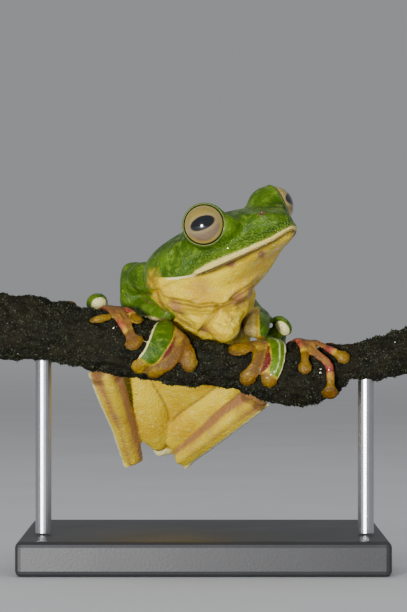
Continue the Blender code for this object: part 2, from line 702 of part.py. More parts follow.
def make_digits(kind, side, table, collection):
    """A hand or a foot: its digits, their discs and the webs between them, as one closed body."""
    name = f"{kind}_{side}"
    digits = table[side]
    pieces = new_pieces(name + " pieces")
    for key, (stations, tip) in digits.items():
        rows = digit_rows(stations)
        if tip:
            disc(key + " disc", rows[-1], tip, pieces)
            rows.append(tip_row(tip, stations[-1][2]))
        sweep(key, rows, pieces, sides=6, rings=max(4, 2 * len(stations) - 3))
    for one, two, start, end, scallop in WEBS[f"{side}_{kind}"]:
        web(one + two, digits[one][0], digits[two][0], start, end, scallop, pieces)
    return unite(name, pieces, collection)


def make_tarsus(side, collection):
    """The long first stretch of a foot, with the pale fringe on its outer edge and the flap at the heel."""
    pieces = new_pieces("tarsus pieces")
    stations = TARSI[side]
    outward = -1.0 if side == "right" else 1.0
    sweep("tarsus core", stations, pieces, sides=10, rings=6)
    fringe = [
        (x + outward * w * FRINGE_OUT, y, z - w * FRINGE_DROP[side], FRINGE_WIDTH, FRINGE_THICKNESS)
        for x, y, z, w, _ in stations
    ]
    sweep("fringe", fringe, pieces, sides=6, rings=6)
    flap = [(*corner, FLAP_WIDTH, FLAP_THICKNESS) for corner in HEEL_FLAPS[side]]
    middle = [(a + b) / 2 for a, b in zip(flap[0], flap[1])]
    sweep("flap", [flap[0], middle, flap[1]], pieces, sides=6, rings=4)
    return unite("tarsus_" + side, pieces, collection)


def make_perch(collection):
    """The cut length of branch that the frog grips."""
    stations = [(x, 0.0, height, radius, radius) for x, height, radius in BRANCH]
    return sweep("perch", stations, collection, sides=14, rings=20, up=(0.0, 0.0, 1.0), blunt=True)


def make_base(collection):
    """The flat base of the stand, standing on the floor."""
    bpy.ops.mesh.primitive_cube_add(size=1.0, location=(0.0, 0.0, BASE_HEIGHT / 2 * MM))
    base = bpy.context.object
    base.name = "stand_base"
    base.scale = (BASE_WIDTH * MM, BASE_DEPTH * MM, BASE_HEIGHT * MM)
    bpy.ops.object.transform_apply(location=True, rotation=False, scale=True)
    for other in base.users_collection:
        other.objects.unlink(base)
    collection.objects.link(base)
    corners = base.modifiers.new("corners", "BEVEL")
    corners.affect = "EDGES"
    corners.limit_method = "ANGLE"
    corners.width = BASE_EDGE_ROUND * MM
    corners.segments = 3
    return apply_modifiers(base)


def make_rod(side, collection):
    """One rod of the stand, from the base up to the underside of the branch."""
    x = ROD_PLACES[side]
    _, height, _ = at_abscissa(BRANCH, x)
    bottom = BASE_HEIGHT + GAP

    def build(bm):
        length = (height - bottom) * MM
        centre = world((x, 0.0, bottom)) + Vector((0.0, 0.0, length / 2))
        radius = ROD_RADIUS * MM
        bmesh.ops.create_cone(bm, cap_ends=True, segments=20, radius1=radius, radius2=radius, depth=length,
                              matrix=Matrix.Translation(centre))

    return new_object("stand_rod_" + side, build, collection)


def make_limbs(collection, settled, materials):
    """Arms, legs, hands and feet, each cut clear of the pieces settled before it."""
    makers = [
        ("upper_arm", "green", lambda side: sweep("upper_arm_" + side, UPPER_ARMS[side], collection)),
        ("thigh", "cream", lambda side: sweep("thigh_" + side, THIGHS[side], collection, sides=12, rings=12)),
        ("forearm", "green", lambda side: sweep("forearm_" + side, FOREARMS[side], collection)),
        ("shank", "green", lambda side: sweep("shank_" + side, SHANKS[side], collection)),
        ("tarsus", "cream", lambda side: make_tarsus(side, collection)),
        ("hand", "yellow", lambda side: make_digits("hand", side, HANDS, collection)),
        ("foot", "yellow", lambda side: make_digits("foot", side, FEET, collection)),
    ]
    for _, colour, maker in makers:
        for side in ("right", "left"):
            limb = maker(side)
            make_room(limb, settled)
            settled.append(finish(limb, materials[colour]))


def main():
    for obj in list(bpy.data.objects):
        bpy.data.objects.remove(obj)
    scene = bpy.context.scene
    collection = bpy.data.collections.new("malabar_gliding_frog")
    scene.collection.children.link(collection)
    cutters = bpy.data.collections.new("cutters")
    scene.collection.children.link(cutters)
    materials = {
        "green": make_material("leaf_green_skin", (0.16, 0.36, 0.02), 0.35),
        "cream": make_material("cream_skin", (0.72, 0.60, 0.26), 0.5),
        "yellow": make_material("yellow_skin", (0.62, 0.40, 0.04), 0.4),
        "eye": make_material("eye", (0.66, 0.56, 0.42), 0.1),
        "bark": make_material("mossy_bark", (0.03, 0.032, 0.022), 0.9),
        "stand": make_material("stand_paint", (0.03, 0.03, 0.032), 0.5),
        "rod": make_material("stand_steel", (0.5, 0.5, 0.52), 0.3),
    }

    finish(make_base(collection), materials["stand"])
    perch = finish(make_perch(collection), materials["bark"])
    for side in ("right", "left"):
        rod = make_rod(side, collection)
        make_room(rod, [perch])
        finish(rod, materials["rod"])
    head, torso = make_trunk(collection, cutters)
    carve_face(head, cutters)
    make_room(torso, [perch])
    finish(head, materials["green"])
    finish(torso, materials["green"])
    for side, sign in (("right", 1), ("left", -1)):
        axes = (HEAD_RIGHT, HEAD_FORWARD, HEAD_UP)
        eye = ellipsoid("eye_" + side, eye_place(sign)[0], [EYE_RADIUS] * 3, axes, collection, 18, 12)
        finish(eye, materials["eye"])
    make_limbs(collection, [perch, head, torso], materials)


main()
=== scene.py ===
"""Finished look of the Malabar gliding frog model: skin, eyes, mossy perch and plain display stand.

Sizes are in millimetres, with depth measured away from the viewer from the branch's axis, as in the part's
source. Meshes are made in metres in the part's own frame: X to the viewer's right, Y away, Z up, the origin
in the middle of the stand's underside. "Right" and "left" are the frog's own.
"""

import json
import logging
import math
from dataclasses import dataclass, field
from enum import Enum
from typing import Callable, Iterable

import bmesh
import bpy
import numpy as np
from mathutils import Matrix, Vector, noise
from mathutils.bvhtree import BVHTree

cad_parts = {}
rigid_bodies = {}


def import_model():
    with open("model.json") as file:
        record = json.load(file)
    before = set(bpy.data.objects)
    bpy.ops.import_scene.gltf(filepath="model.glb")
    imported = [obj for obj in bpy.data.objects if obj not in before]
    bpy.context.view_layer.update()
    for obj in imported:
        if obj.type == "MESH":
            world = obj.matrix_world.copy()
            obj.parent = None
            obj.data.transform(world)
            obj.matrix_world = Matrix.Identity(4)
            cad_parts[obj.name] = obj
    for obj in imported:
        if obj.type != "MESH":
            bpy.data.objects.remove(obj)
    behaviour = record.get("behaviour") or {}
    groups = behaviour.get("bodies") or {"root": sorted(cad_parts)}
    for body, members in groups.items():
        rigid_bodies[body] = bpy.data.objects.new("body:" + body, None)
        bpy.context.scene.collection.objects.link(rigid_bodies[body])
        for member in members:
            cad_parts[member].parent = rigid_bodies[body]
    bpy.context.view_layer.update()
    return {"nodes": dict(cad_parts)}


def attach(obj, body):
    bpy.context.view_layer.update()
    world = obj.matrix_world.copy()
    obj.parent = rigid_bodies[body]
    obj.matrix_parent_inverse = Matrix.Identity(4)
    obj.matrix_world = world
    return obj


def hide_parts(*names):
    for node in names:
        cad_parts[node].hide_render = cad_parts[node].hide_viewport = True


LOG = logging.getLogger("frog")

Array = np.ndarray
Row = tuple[float, ...]
Shape = tuple[Array, list[tuple[int, ...]]]
Colour = tuple[float, float, float]

MM = 0.001
DEPTH_OF_BRANCH = -12.0
GAP = 0.3
FAR = 99.0

# The branch: place along X, height of the axis, radius
BRANCH = (
    (-36.4, 42.4, 5.6), (-28.6, 42.0, 5.3), (-21.5, 40.6, 5.0), (-14.6, 39.4, 5.4), (-7.6, 37.8, 4.8),
    (-3.6, 36.4, 4.4), (1.0, 36.0, 3.7), (6.0, 35.2, 3.7), (11.6, 34.3, 4.8), (17.0, 34.0, 5.3),
    (20.6, 34.4, 4.5), (24.8, 36.2, 3.1), (29.0, 36.6, 3.5), (36.5, 38.4, 3.9),
)
# The head: distance behind the snout tip, half width at the lip, crown, mouth line, throat below the mouth
HEAD_SECTIONS = (
    (0.0, 0.9, 1.5, -0.3, 0.4), (0.6, 2.1, 2.6, -0.6, 0.6), (2.2, 3.7, 3.5, -1.2, 0.8),
    (5.0, 5.6, 4.5, -1.65, 1.0), (8.5, 7.6, 5.45, -2.15, 1.8), (12.5, 9.4, 6.2, -2.6, 3.8),
    (16.5, 10.8, 6.1, -2.75, 5.4), (20.5, 11.5, 5.6, -2.5, 6.6), (25.0, 11.0, 4.7, -2.4, 6.8),
    (29.0, 8.8, 3.4, -2.4, 5.6),
)
# The upper half of a section from the lip's edge to the crown's middle: shares of the half width and height
SNOUT_PROFILE = (
    (1.0, 0.0), (1.0, 0.1), (0.955, 0.22), (0.875, 0.42), (0.8, 0.62), (0.72, 0.8), (0.61, 0.93),
    (0.45, 0.985), (0.2, 1.0), (0.0, 1.0),
)
CHEEK_PROFILE = (
    (1.0, 0.0), (1.0, 0.12), (0.985, 0.26), (0.95, 0.44), (0.88, 0.61), (0.76, 0.77), (0.6, 0.89),
    (0.4, 0.96), (0.2, 0.99), (0.0, 1.0),
)
# The trunk: place on its axis, half width, half thickness
TRUNK = (
    (1.0, 0.5, 53.0, 8.2, 6.0), (-0.6, 6.5, 49.5, 9.8, 7.3), (-1.6, 12.6, 43.0, 10.4, 7.8),
    (-3.4, 20.0, 35.5, 9.6, 7.2), (-4.9, 25.6, 28.6, 7.2, 5.2), (-6.4, 28.6, 23.4, 4.6, 3.5),
    (-7.2, 29.6, 21.0, 3.0, 2.4),
)
# Ellipsoids of flesh: centre, radii
THROAT = ((0.5, -3.5, 50.5), (8.4, 5.6, 5.5))
CHEST = ((1.2, 1.2, 46.4), (7.0, 5.0, 4.9))
BUNCH = ((3.6, 0.2, 42.9), (2.9, 4.0, 3.5))
SHOULDERS = {"right": ((-6.2, 5.0, 50.4), (3.6, 4.0, 3.8)), "left": ((5.4, 7.0, 48.0), (4.0, 4.2, 3.8))}
VENT_FOLD = ((-8.0, 28.6, 19.4), (1.35, 1.2, 1.1))
# The limbs by side: X, depth, height, half width and half thickness of each station
UPPER_ARMS = {
    "right": ((-7.6, 3.8, 50.6, 2.8, 2.8), (-10.8, 6.8, 51.0, 2.8, 2.8), (-12.4, 10.4, 49.4, 2.6, 2.6)),
    "left": ((5.2, 6.0, 47.2, 2.8, 2.8), (7.2, 12.0, 45.8, 2.6, 2.6), (9.0, 16.2, 43.8, 2.3, 2.3)),
}
FOREARMS = {
    "right": ((-12.6, 12.0, 47.2, 2.5, 2.5), (-11.2, 8.4, 45.6, 2.4, 2.2), (-8.2, 4.2, 44.6, 1.8, 1.6),
              (-6.8, 2.0, 43.9, 1.7, 1.4)),
    "left": ((9.2, 17.0, 43.4, 2.3, 2.3), (9.5, 11.0, 43.6, 2.5, 2.2), (9.3, 5.4, 43.0, 2.5, 1.8),
             (9.3, 2.0, 41.7, 2.4, 1.4)),
}
THIGHS = {
    "right": ((-8.4, 26.6, 21.0, 1.7, 1.6), (-9.8, 23.3, 25.0, 3.7, 2.9), (-10.6, 19.5, 30.0, 3.9, 3.2),
              (-12.8, 16.6, 35.5, 3.1, 2.9), (-16.0, 13.6, 41.2, 2.2, 2.2), (-18.2, 11.6, 45.4, 1.3, 1.4)),
    "left": ((-5.4, 26.4, 21.4, 1.7, 1.6), (-3.6, 23.4, 24.2, 2.6, 2.5), (-0.8, 20.2, 27.4, 3.0, 2.7),
             (3.6, 16.8, 31.0, 3.0, 2.6), (9.0, 13.6, 36.5, 2.1, 2.2), (13.4, 11.6, 41.6, 1.2, 1.4)),
}
SHANKS = {
    "right": ((-19.1, 13.4, 45.2, 1.4, 1.5), (-19.2, 18.8, 38.0, 2.2, 2.2), (-16.6, 23.6, 29.5, 2.1, 2.1),
              (-14.2, 27.6, 20.4, 1.5, 1.5)),
    "left": ((13.8, 13.2, 41.2, 1.2, 1.4), (11.4, 19.2, 35.0, 2.1, 2.2), (5.0, 24.2, 28.2, 2.0, 2.1),
             (-2.0, 29.0, 20.8, 1.5, 1.5)),
}
TARSI = {
    "right": ((-13.0, 26.0, 18.6, 2.0, 1.5), (-14.5, 19.5, 24.5, 2.3, 1.5), (-16.1, 13.0, 29.8, 2.8, 1.4),
              (-17.4, 8.6, 34.2, 3.1, 1.3)),
    "left": ((-3.8, 26.0, 18.6, 2.0, 1.5), (0.8, 20.0, 22.4, 2.2, 1.5), (5.4, 14.6, 26.4, 2.5, 1.4),
             (9.2, 10.6, 29.6, 2.6, 1.3)),
}
ANKLES = {
    "right": ((-17.3, 9.6, 33.2, 2.6, 1.2), (-17.8, 7.2, 36.0, 2.3, 1.1), (-18.2, 5.4, 38.2, 1.9, 0.9)),
    "left": ((8.9, 11.0, 29.2, 2.4, 1.2), (9.8, 7.6, 30.6, 2.2, 1.1), (11.0, 4.8, 31.6, 1.9, 0.9)),
}
# Where the flap at each heel starts and ends
HEEL_FLAPS = {
    "right": ((-14.6, 26.4, 17.2), (-11.4, 26.4, 18.6)),
    "left": ((-2.6, 26.4, 16.8), (-5.0, 26.4, 19.6)),
}
DIGIT_THICKNESS = 0.6
DISC_THICKNESS = 0.56
DISC_RIM = 0.74
WEB_LIFT = 0.35
WEB_THICKNESS = 0.6
# Digits over the branch: place along X, angle round it, half width; then the disc: X, angle, lift, half
# width, half length
HANDS = {
    "right": {
        "four": (((-6.5, 4, 1.6), (-6.8, 24, 1.8), (-7.4, 50, 1.85), (-8.2, 74, 1.65), (-9.2, 94, 1.5),
                  (-10.2, 110, 1.5)), (-11.1, 122, 0.0, 1.7, 1.7)),
        "three": (((-5.6, 14, 1.1), (-4.3, 38, 1.0), (-4.2, 62, 1.05), (-4.9, 86, 1.1), (-6.2, 106, 1.25)),
                  (-8.4, 126, 0.0, 1.6, 1.9)),
        "two": (((-5.2, 14, 0.9), (-3.4, 38, 0.8), (-2.8, 60, 0.95), (-2.5, 76, 1.25)),
                (-2.5, 92, 0.0, 1.6, 1.8)),
        "one": (((-6.6, 0, 1.1), (-8.2, -28, 0.9), (-9.2, -48, 0.8)), (-9.8, -60, 0.0, 1.3, 1.3)),
    },
    "left": {
        "four": (((11.2, 4, 1.2), (12.9, 26, 1.35), (13.2, 52, 1.25), (13.0, 74, 1.05), (12.3, 90, 1.1)),
                 (11.4, 102, 0.0, 1.6, 1.5)),
        "three": (((10.0, 6, 1.3), (9.9, 28, 1.3), (9.7, 52, 1.3), (9.3, 74, 1.2), (8.6, 92, 1.35)),
                  (7.7, 106, 0.0, 1.6, 1.7)),
        "two": (((9.6, 10, 1.0), (8.3, 28, 1.2), (7.4, 38, 1.5)), (6.2, 43, 0.0, 1.8, 2.2)),
        "one": (((10.2, -4, 1.1), (10.8, -24, 0.9), (11.4, -40, 0.9)), (11.8, -50, 0.0, 1.4, 1.4)),
    },
}
FEET = {
    "right": {
        "sole": (((-18.2, -112, 1.9), (-18.0, -85, 1.8), (-17.4, -50, 1.7), (-16.8, -20, 1.6),
                  (-16.4, 0, 1.4)), None),
        "one": (((-16.8, -14, 1.1), (-15.8, 12, 0.9), (-15.6, 30, 0.75), (-16.2, 43, 0.75)),
                (-18.0, 51, 0.0, 0.95, 2.0)),
        "two": (((-17.2, -14, 1.1), (-16.9, 14, 0.8), (-15.5, 38, 0.75), (-14.0, 56, 0.8), (-12.9, 69, 0.95)),
                (-12.0, 81, 0.0, 1.9, 1.5)),
        "three": (((-16.4, -10, 1.1), (-14.6, 20, 0.7), (-13.3, 42, 0.65), (-12.6, 60, 0.7),
                   (-12.2, 74, 0.8)), None),
        "four": (((-16.4, -16, 1.1), (-14.4, -2, 0.9), (-12.6, 18, 0.8)), (-11.6, 34, 0.0, 1.2, 1.4)),
        "five": (((-17.6, -56, 1.1), (-20.2, -50, 0.9), (-22.4, -38, 0.8)), (-23.6, -30, 0.0, 1.5, 1.5)),
    },
    "left": {
        "sole": (((10.6, -122, 1.9), (12.4, -98, 1.8), (14.6, -65, 1.7), (16.2, -30, 1.6),
                  (16.8, -6, 1.4)), None),
        "one": (((16.4, -20, 1.1), (16.8, 16, 0.9), (17.4, 42, 0.75), (17.6, 60, 0.8)),
                (17.6, 78, 0.0, 1.4, 1.4)),
        "two": (((16.8, -16, 1.1), (18.0, 22, 0.9), (19.3, 50, 0.9), (21.3, 72, 0.9), (22.0, 96, 0.8)),
                (22.0, 132, 1.2, 1.65, 1.7)),
        "three": (((17.0, -22, 1.1), (19.2, 14, 0.85), (21.2, 36, 0.8), (22.7, 54, 0.8)),
                  (24.3, 74, 0.0, 1.35, 1.5)),
        "four": (((15.4, -54, 1.1), (18.4, -52, 0.9), (20.8, -46, 0.8)), (22.2, -42, 0.0, 1.5, 1.5)),
        "five": (((13.2, -88, 1.1), (16.2, -96, 0.9), (18.8, -100, 0.8)), (20.2, -104, 0.0, 1.5, 1.5)),
    },
}
# Webs: the two digits, how far along them the web starts and ends, and how deep its edge is scalloped
WEBS = {
    ("hand", "right"): (("four", "three", 0.25, 1.0, 0.0), ("three", "two", 0.2, 0.6, 0.2)),
    ("hand", "left"): (("four", "three", 0.15, 1.0, 0.0), ("three", "two", 0.1, 0.6, 0.2)),
    ("foot", "right"): (("one", "two", 0.2, 0.6, 0.2), ("two", "three", 0.2, 0.9, 0.1),
                        ("three", "four", 0.1, 0.6, 0.3)),
    ("foot", "left"): (("one", "two", 0.2, 0.8, 0.25), ("two", "three", 0.2, 0.7, 0.25)),
}


class Side(Enum):
    """A side of the frog, with the sign of its offset to the frog's right."""

    RIGHT = 1
    LEFT = -1

    @property
    def word(self) -> str:
        """The side's name, as node names end."""
        return self.name.lower()


class Chart(Enum):
    """A flat chart for folds: across and up as the viewer sees it, or back and up on the head."""

    FRONT = "front"
    CHEEK = "cheek"


def smoothstep(values: Array, low: float, high: float) -> Array:
    """A soft step from 0 at low to 1 at high, falling where low is above high."""
    share = np.clip((values - low) / (high - low), 0.0, 1.0)
    return share * share * (3.0 - 2.0 * share)


def bell(values: Array, width: float) -> Array:
    """A Gaussian bump of this width round zero."""
    return np.exp(-((values / width) ** 2))


def unit(vectors: Array) -> Array:
    """Vectors scaled to a length of one."""
    return vectors / np.maximum(np.linalg.norm(vectors, axis=-1, keepdims=True), 1e-9)


def catmull(rows: Array, places: Array) -> Array:
    """Catmull-Rom through rows of numbers.

    Args:
        rows: One row for each station.
        places: Places from 0 to the number of rows less one.

    Returns:
        One row for each place.
    """
    last = len(rows) - 1
    i = np.minimum(places.astype(int), last - 1)
    t = (places - i)[:, None]
    start, end = rows[i], rows[i + 1]
    before, after = rows[np.maximum(i - 1, 0)], rows[np.minimum(i + 2, last)]
    return (
        (-(t ** 3) + 2 * t ** 2 - t) * before
        + (3 * t ** 3 - 5 * t ** 2 + 2) * start
        + (-3 * t ** 3 + 4 * t ** 2 + t) * end
        + (t ** 3 - t ** 2) * after
    ) / 2


def at_abscissa(table: Iterable[Row], places: Array) -> Array:
    """Rows of a table, without their first value, read at these first values by straight lines."""
    rows = np.array(list(table), float)
    return np.stack([np.interp(places, rows[:, 0], rows[:, k]) for k in range(1, rows.shape[1])], axis=-1)


def world(points: Array) -> Array:
    """Points in millimetres, with depth from the branch, as metres in the part's frame."""
    return (np.asarray(points, float) + (0.0, DEPTH_OF_BRANCH, 0.0)) * MM


def on_branch(x: float, angle: float, lift: float) -> tuple[Array, Array]:
    """A place over the branch.

    Args:
        x: Place along the branch.
        angle: Degrees round it, 0 at the top and 90 at the front.
        lift: Height over its surface.

    Returns:
        The point and the outward direction there.
    """
    height, radius = at_abscissa(BRANCH, np.array([x]))[0]
    turned = math.radians(angle)
    out = np.array((0.0, -math.sin(turned), math.cos(turned)))
    return np.array((x, 0.0, height)) + out * (radius + lift), out


def scatter(points: Array, size: float) -> Array:
    """Noise at each point, with features of this size, both in millimetres."""
    return np.fromiter((noise.noise(Vector(p)) for p in points / size), float, len(points))


def polyline_distance(points: Array, line: Array) -> Array:
    """Distance of points on a chart from a line of straight pieces.

    Args:
        points: Places on the chart.
        line: Corners of the line.

    Returns:
        The distance of each point.
    """
    nearest = np.full(len(points), FAR)
    for start, end in zip(line, line[1:]):
        along = end - start
        share = np.clip(((points - start) @ along) / max(along @ along, 1e-9), 0.0, 1.0)
        nearest = np.minimum(nearest, np.linalg.norm(points - start - share[:, None] * along, axis=1))
    return nearest


def ring_faces(one: int, two: int, sides: int) -> list[tuple[int, ...]]:
    """Faces between two rings of points, whose first points have these numbers."""
    return [(one + k, one + (k + 1) % sides, two + (k + 1) % sides, two + k) for k in range(sides)]


def tube(loops: list[Array], tips: Array) -> Shape:
    """A closed tube through loops of points that follow each other.

    Args:
        loops: Points of each loop.
        tips: The two points that close the first and the last loop.

    Returns:
        Points and faces.
    """
    sides = len(loops[0])
    count, last = len(loops) * sides, (len(loops) - 1) * sides
    faces = [face for start in range(0, last, sides) for face in ring_faces(start, start + sides, sides)]
    for k in range(sides):
        after = (k + 1) % sides
        faces += [(after, k, count), (last + k, last + after, count + 1)]
    return np.concatenate([*loops, tips]), faces


def new_mesh(name: str, shape: Shape) -> bpy.types.Mesh:
    """A mesh in metres from points in millimetres, with its faces turned outwards.

    Args:
        name: Its name.
        shape: Points in millimetres and faces.

    Returns:
        The mesh.
    """
    points, faces = shape
    mesh = bpy.data.meshes.new(name)
    mesh.from_pydata(world(points).tolist(), [], faces)
    bm = bmesh.new()
    bm.from_mesh(mesh)
    bmesh.ops.recalc_face_normals(bm, faces=bm.faces)
    bm.to_mesh(mesh)
    bm.free()
    return mesh


def new_object(name: str, data: bpy.types.ID) -> bpy.types.Object:
    """An object with this mesh, light or camera in the scene.

    Args:
        name: Its name.
        data: Its mesh, light or camera.

    Returns:
        The object.
    """
    made = bpy.data.objects.new(name, data)
    bpy.context.scene.collection.objects.link(made)
    return made


def settle(made: bpy.types.Object) -> bpy.types.Object:
    """The object keeps what its modifiers make, and loses them.

    Args:
        made: The object.

    Returns:
        The same object.
    """
    graph = bpy.context.evaluated_depsgraph_get()
    mesh = bpy.data.meshes.new_from_object(made.evaluated_get(graph))
    made.modifiers.clear()
    made.data = mesh
    return made


def boolean(made: bpy.types.Object, shape: Shape, operation: str) -> None:
    """Joins or cuts a closed shape with the object.

    Args:
        made: The object that changes.
        shape: Points in millimetres and faces of the other shape.
        operation: UNION or DIFFERENCE.
    """
    other = new_object("cutter", new_mesh("cutter", shape))
    step = made.modifiers.new("cut", "BOOLEAN")
    step.operation = operation
    step.object = other
    step.solver = "MANIFOLD"
    settle(made)
    bpy.data.objects.remove(other)


def rows_of(items: bpy.types.bpy_prop_collection, key: str, width: int, kind: type = float) -> Array:
    """Reads one attribute of every item of a mesh's collection.

    Args:
        items: The collection.
        key: The attribute's name.
        width: How many numbers each item has.
        kind: Their type.

    Returns:
        One row for each item.
    """
    flat = np.zeros(len(items) * width, kind)
    items.foreach_get(key, flat)
    return flat.reshape(-1, width)


def points_of(mesh: bpy.types.Mesh) -> Array:
    """The mesh's points in millimetres, with depth from the branch."""
    return rows_of(mesh.vertices, "co", 3) / MM - (0.0, DEPTH_OF_BRANCH, 0.0)


def normals_of(mesh: bpy.types.Mesh) -> Array:
    """The mesh's point normals."""
    return rows_of(mesh.vertex_normals, "vector", 3)


def move_points(mesh: bpy.types.Mesh, points: Array) -> None:
    """Sets the mesh's points, in millimetres."""
    mesh.vertices.foreach_set("co", world(points).ravel())
    mesh.update()


def edges_of(mesh: bpy.types.Mesh) -> Array:
    """The mesh's edges as pairs of point numbers."""
    return rows_of(mesh.edges, "vertices", 2, int)


def near_to(points: Array, places: Array, reach: float) -> Array:
    """Which points lie in the box round the places, or within reach of it."""
    return np.all((points > places.min(0) - reach) & (points < places.max(0) + reach), axis=1)


def squares_between(points: Array, places: Array) -> Array:
    """The square of the distance from each point, a row, to each place, a column."""
    return (points ** 2).sum(1)[:, None] - 2 * points @ places.T + (places ** 2).sum(1)


def relax(points: Array, edges: Array, weight: Array, rounds: int) -> Array:
    """Moves each point towards the middle of its neighbours.

    Args:
        points: The points.
        edges: Pairs of neighbours.
        weight: How far each point follows, from 0 to 1.
        rounds: Number of passes.

    Returns:
        The relaxed points.
    """
    count = len(points)
    one, two = edges[:, 0], edges[:, 1]
    degree = np.maximum(np.bincount(one, minlength=count) + np.bincount(two, minlength=count), 1)
    moved = points.copy()
    for _ in range(rounds):
        for axis in range(3):
            column = moved[:, axis]
            total = np.bincount(one, column[two], count) + np.bincount(two, column[one], count)
            moved[:, axis] = column + weight * (total / degree - column)
    return moved


def set_field(mesh: bpy.types.Mesh, name: str, values: Array) -> None:
    """Keeps one number for each point of the mesh as an attribute."""
    layer = mesh.attributes.get(name) or mesh.attributes.new(name, "FLOAT", "POINT")
    layer.data.foreach_set("value", np.asarray(values, np.float32))


@dataclass(frozen=True)
class HeadFrame:
    """The head's own axes: forward, right and up, from the tip of the snout."""

    tip: Row = (15.1, -13.0, 59.5)
    yaw: float = 47.0
    pitch: float = 13.8
    roll: float = 11.5

    def axes(self) -> Array:
        """Forward, right and up as rows.

        Returns:
            The three unit directions.
        """
        yaw, pitch = math.radians(self.yaw), math.radians(self.pitch)
        forward = Vector((math.sin(yaw) * math.cos(pitch), -math.cos(yaw) * math.cos(pitch), math.sin(pitch)))
        level = Vector((-math.cos(yaw), -math.sin(yaw), 0.0))
        right = Matrix.Rotation(math.radians(self.roll), 3, forward) @ level
        return np.array((forward, right, right.cross(forward)))

    def ball_axes(self) -> Array:
        """Right, forward and up as rows, for an ellipsoid that lies along the head."""
        return self.axes()[[1, 0, 2]]

    def place(self, back: float | Array, right: float | Array, up: float | Array) -> Array:
        """Points given by their distance behind the snout, to the right and up.

        Args:
            back: Distances behind the snout.
            right: Distances to the head's right.
            up: Distances upwards.

        Returns:
            The points.
        """
        forward, side, top = self.axes()
        spread = [np.asarray(value, float)[..., None] for value in (back, right, up)]
        return np.array(self.tip) - spread[0] * forward + spread[1] * side + spread[2] * top

    def measure(self, points: Array) -> tuple[Array, Array, Array]:
        """Distance behind the snout, to the right and up of each point.

        Args:
            points: The points.

        Returns:
            The three distances of each point.
        """
        forward, side, top = self.axes()
        offset = points - np.array(self.tip)
        return -(offset @ forward), offset @ side, offset @ top


HEAD = HeadFrame()


@dataclass
class Reading:
    """Where points lie on a mass of flesh.

    along runs from 0 at its root to 1 at its tip, across and over from -1 to 1 through its width and
    thickness, and distance is in millimetres from its surface.
    """

    along: Array
    across: Array
    over: Array
    distance: Array

    @classmethod
    def nowhere(cls, count: int) -> "Reading":
        """A reading of points that are too far away to matter."""
        return cls(np.zeros(count), np.zeros(count), np.zeros(count), np.full(count, FAR))


Tone = Callable[[Reading], dict[str, Array | float]]


def plain(**shares: float) -> Tone:
    """A tone that is the same all over a mass."""
    return lambda reading: dict(shares)


@dataclass
class Sweep:
    """A limb, digit, fringe or flap along stations of (x, depth, z, half width, half thickness[, up])."""

    name: str
    group: str
    stations: Iterable[Row]
    tone: Tone
    up: Row = (0.0, -1.0, 0.0)
    sides: int = 24
    ring_length: float = 0.45
    soft: float = 0.5

    def path(self) -> Array:
        """Rows along the sweep: centre, half sizes and up.

        Returns:
            One row for each step.
        """
        rows = np.array([(*s, *self.up) if len(s) == 5 else tuple(s) for s in self.stations], float)
        length = np.linalg.norm(np.diff(rows[:, :3], axis=0), axis=1).sum()
        count = max(8, round(length / self.ring_length))
        return catmull(rows, np.linspace(0.0, len(rows) - 1, count + 1))

    @staticmethod
    def frames(path: Array) -> tuple[Array, Array, Array]:
        """Directions along, across and over the sweep at each row.

        Args:
            path: Rows along the sweep.

        Returns:
            The three unit directions at each row.
        """
        along = unit(np.gradient(path[:, :3], axis=0))
        side = unit(np.cross(along, path[:, 5:8]))
        return along, side, np.cross(side, along)

    def shape(self) -> Shape:
        """The closed surface with round ends.

        Returns:
            Points and faces.
        """
        path = self.path()
        along, side, top = self.frames(path)
        last = len(path) - 1
        bends = np.radians((78.0, 60.0, 42.0, 22.0))
        places = [(0, bend, -1.0) for bend in bends] + [(i, 0.0, 0.0) for i in range(last + 1)]
        places += [(last, bend, 1.0) for bend in bends[::-1]]
        turn = np.linspace(0.0, 2 * math.pi, self.sides, endpoint=False)
        loops = []
        for i, bend, sign in places:
            shrink, reach = math.cos(bend), math.sin(bend) * path[i, 4] * sign
            loops.append(
                path[i, :3] + along[i] * reach
                + np.outer(np.cos(turn), side[i]) * path[i, 3] * shrink
                + np.outer(np.sin(turn), top[i]) * path[i, 4] * shrink
            )
        tips = [path[0, :3] - along[0] * path[0, 4], path[last, :3] + along[last] * path[last, 4]]
        return tube(loops, np.array(tips))

    def read(self, points: Array) -> Reading:
        """Where the points lie on the sweep.

        Args:
            points: The points.

        Returns:
            Their readings.
        """
        path = self.path()
        along, side, top = self.frames(path)
        centre = path[:, :3]
        near = near_to(points, centre, path[:, 3:5].max() + 3.0)
        reading = Reading.nowhere(len(points))
        if not near.any():
            return reading
        asked = points[near]
        i = squares_between(asked, centre).argmin(1)
        offset = asked - centre[i]
        step = np.linalg.norm(np.gradient(centre, axis=0), axis=1)[i]
        ahead = (offset * along[i]).sum(1)
        inside = np.clip(ahead, -step / 2, step / 2)
        last = len(path) - 1
        beyond = np.where(((i == 0) & (ahead < 0)) | ((i == last) & (ahead > 0)), ahead, 0.0)
        inside = np.where(beyond != 0.0, 0.0, inside)
        offset = offset - along[i] * inside[:, None]
        wide, thick = path[i, 3], path[i, 4]
        u, v, e = (offset * side[i]).sum(1) / wide, (offset * top[i]).sum(1) / thick, beyond / thick
        first = np.sqrt(u * u + v * v + e * e)
        second = np.maximum(np.sqrt((u / wide) ** 2 + (v / thick) ** 2 + (e / thick) ** 2), 1e-6)
        reading.along[near] = np.clip((i + inside / np.maximum(step, 1e-6)) / last, 0.0, 1.0)
        reading.across[near] = np.clip(u, -2.0, 2.0)
        reading.over[near] = np.clip(v, -2.0, 2.0)
        reading.distance[near] = first * (first - 1.0) / second
        return reading


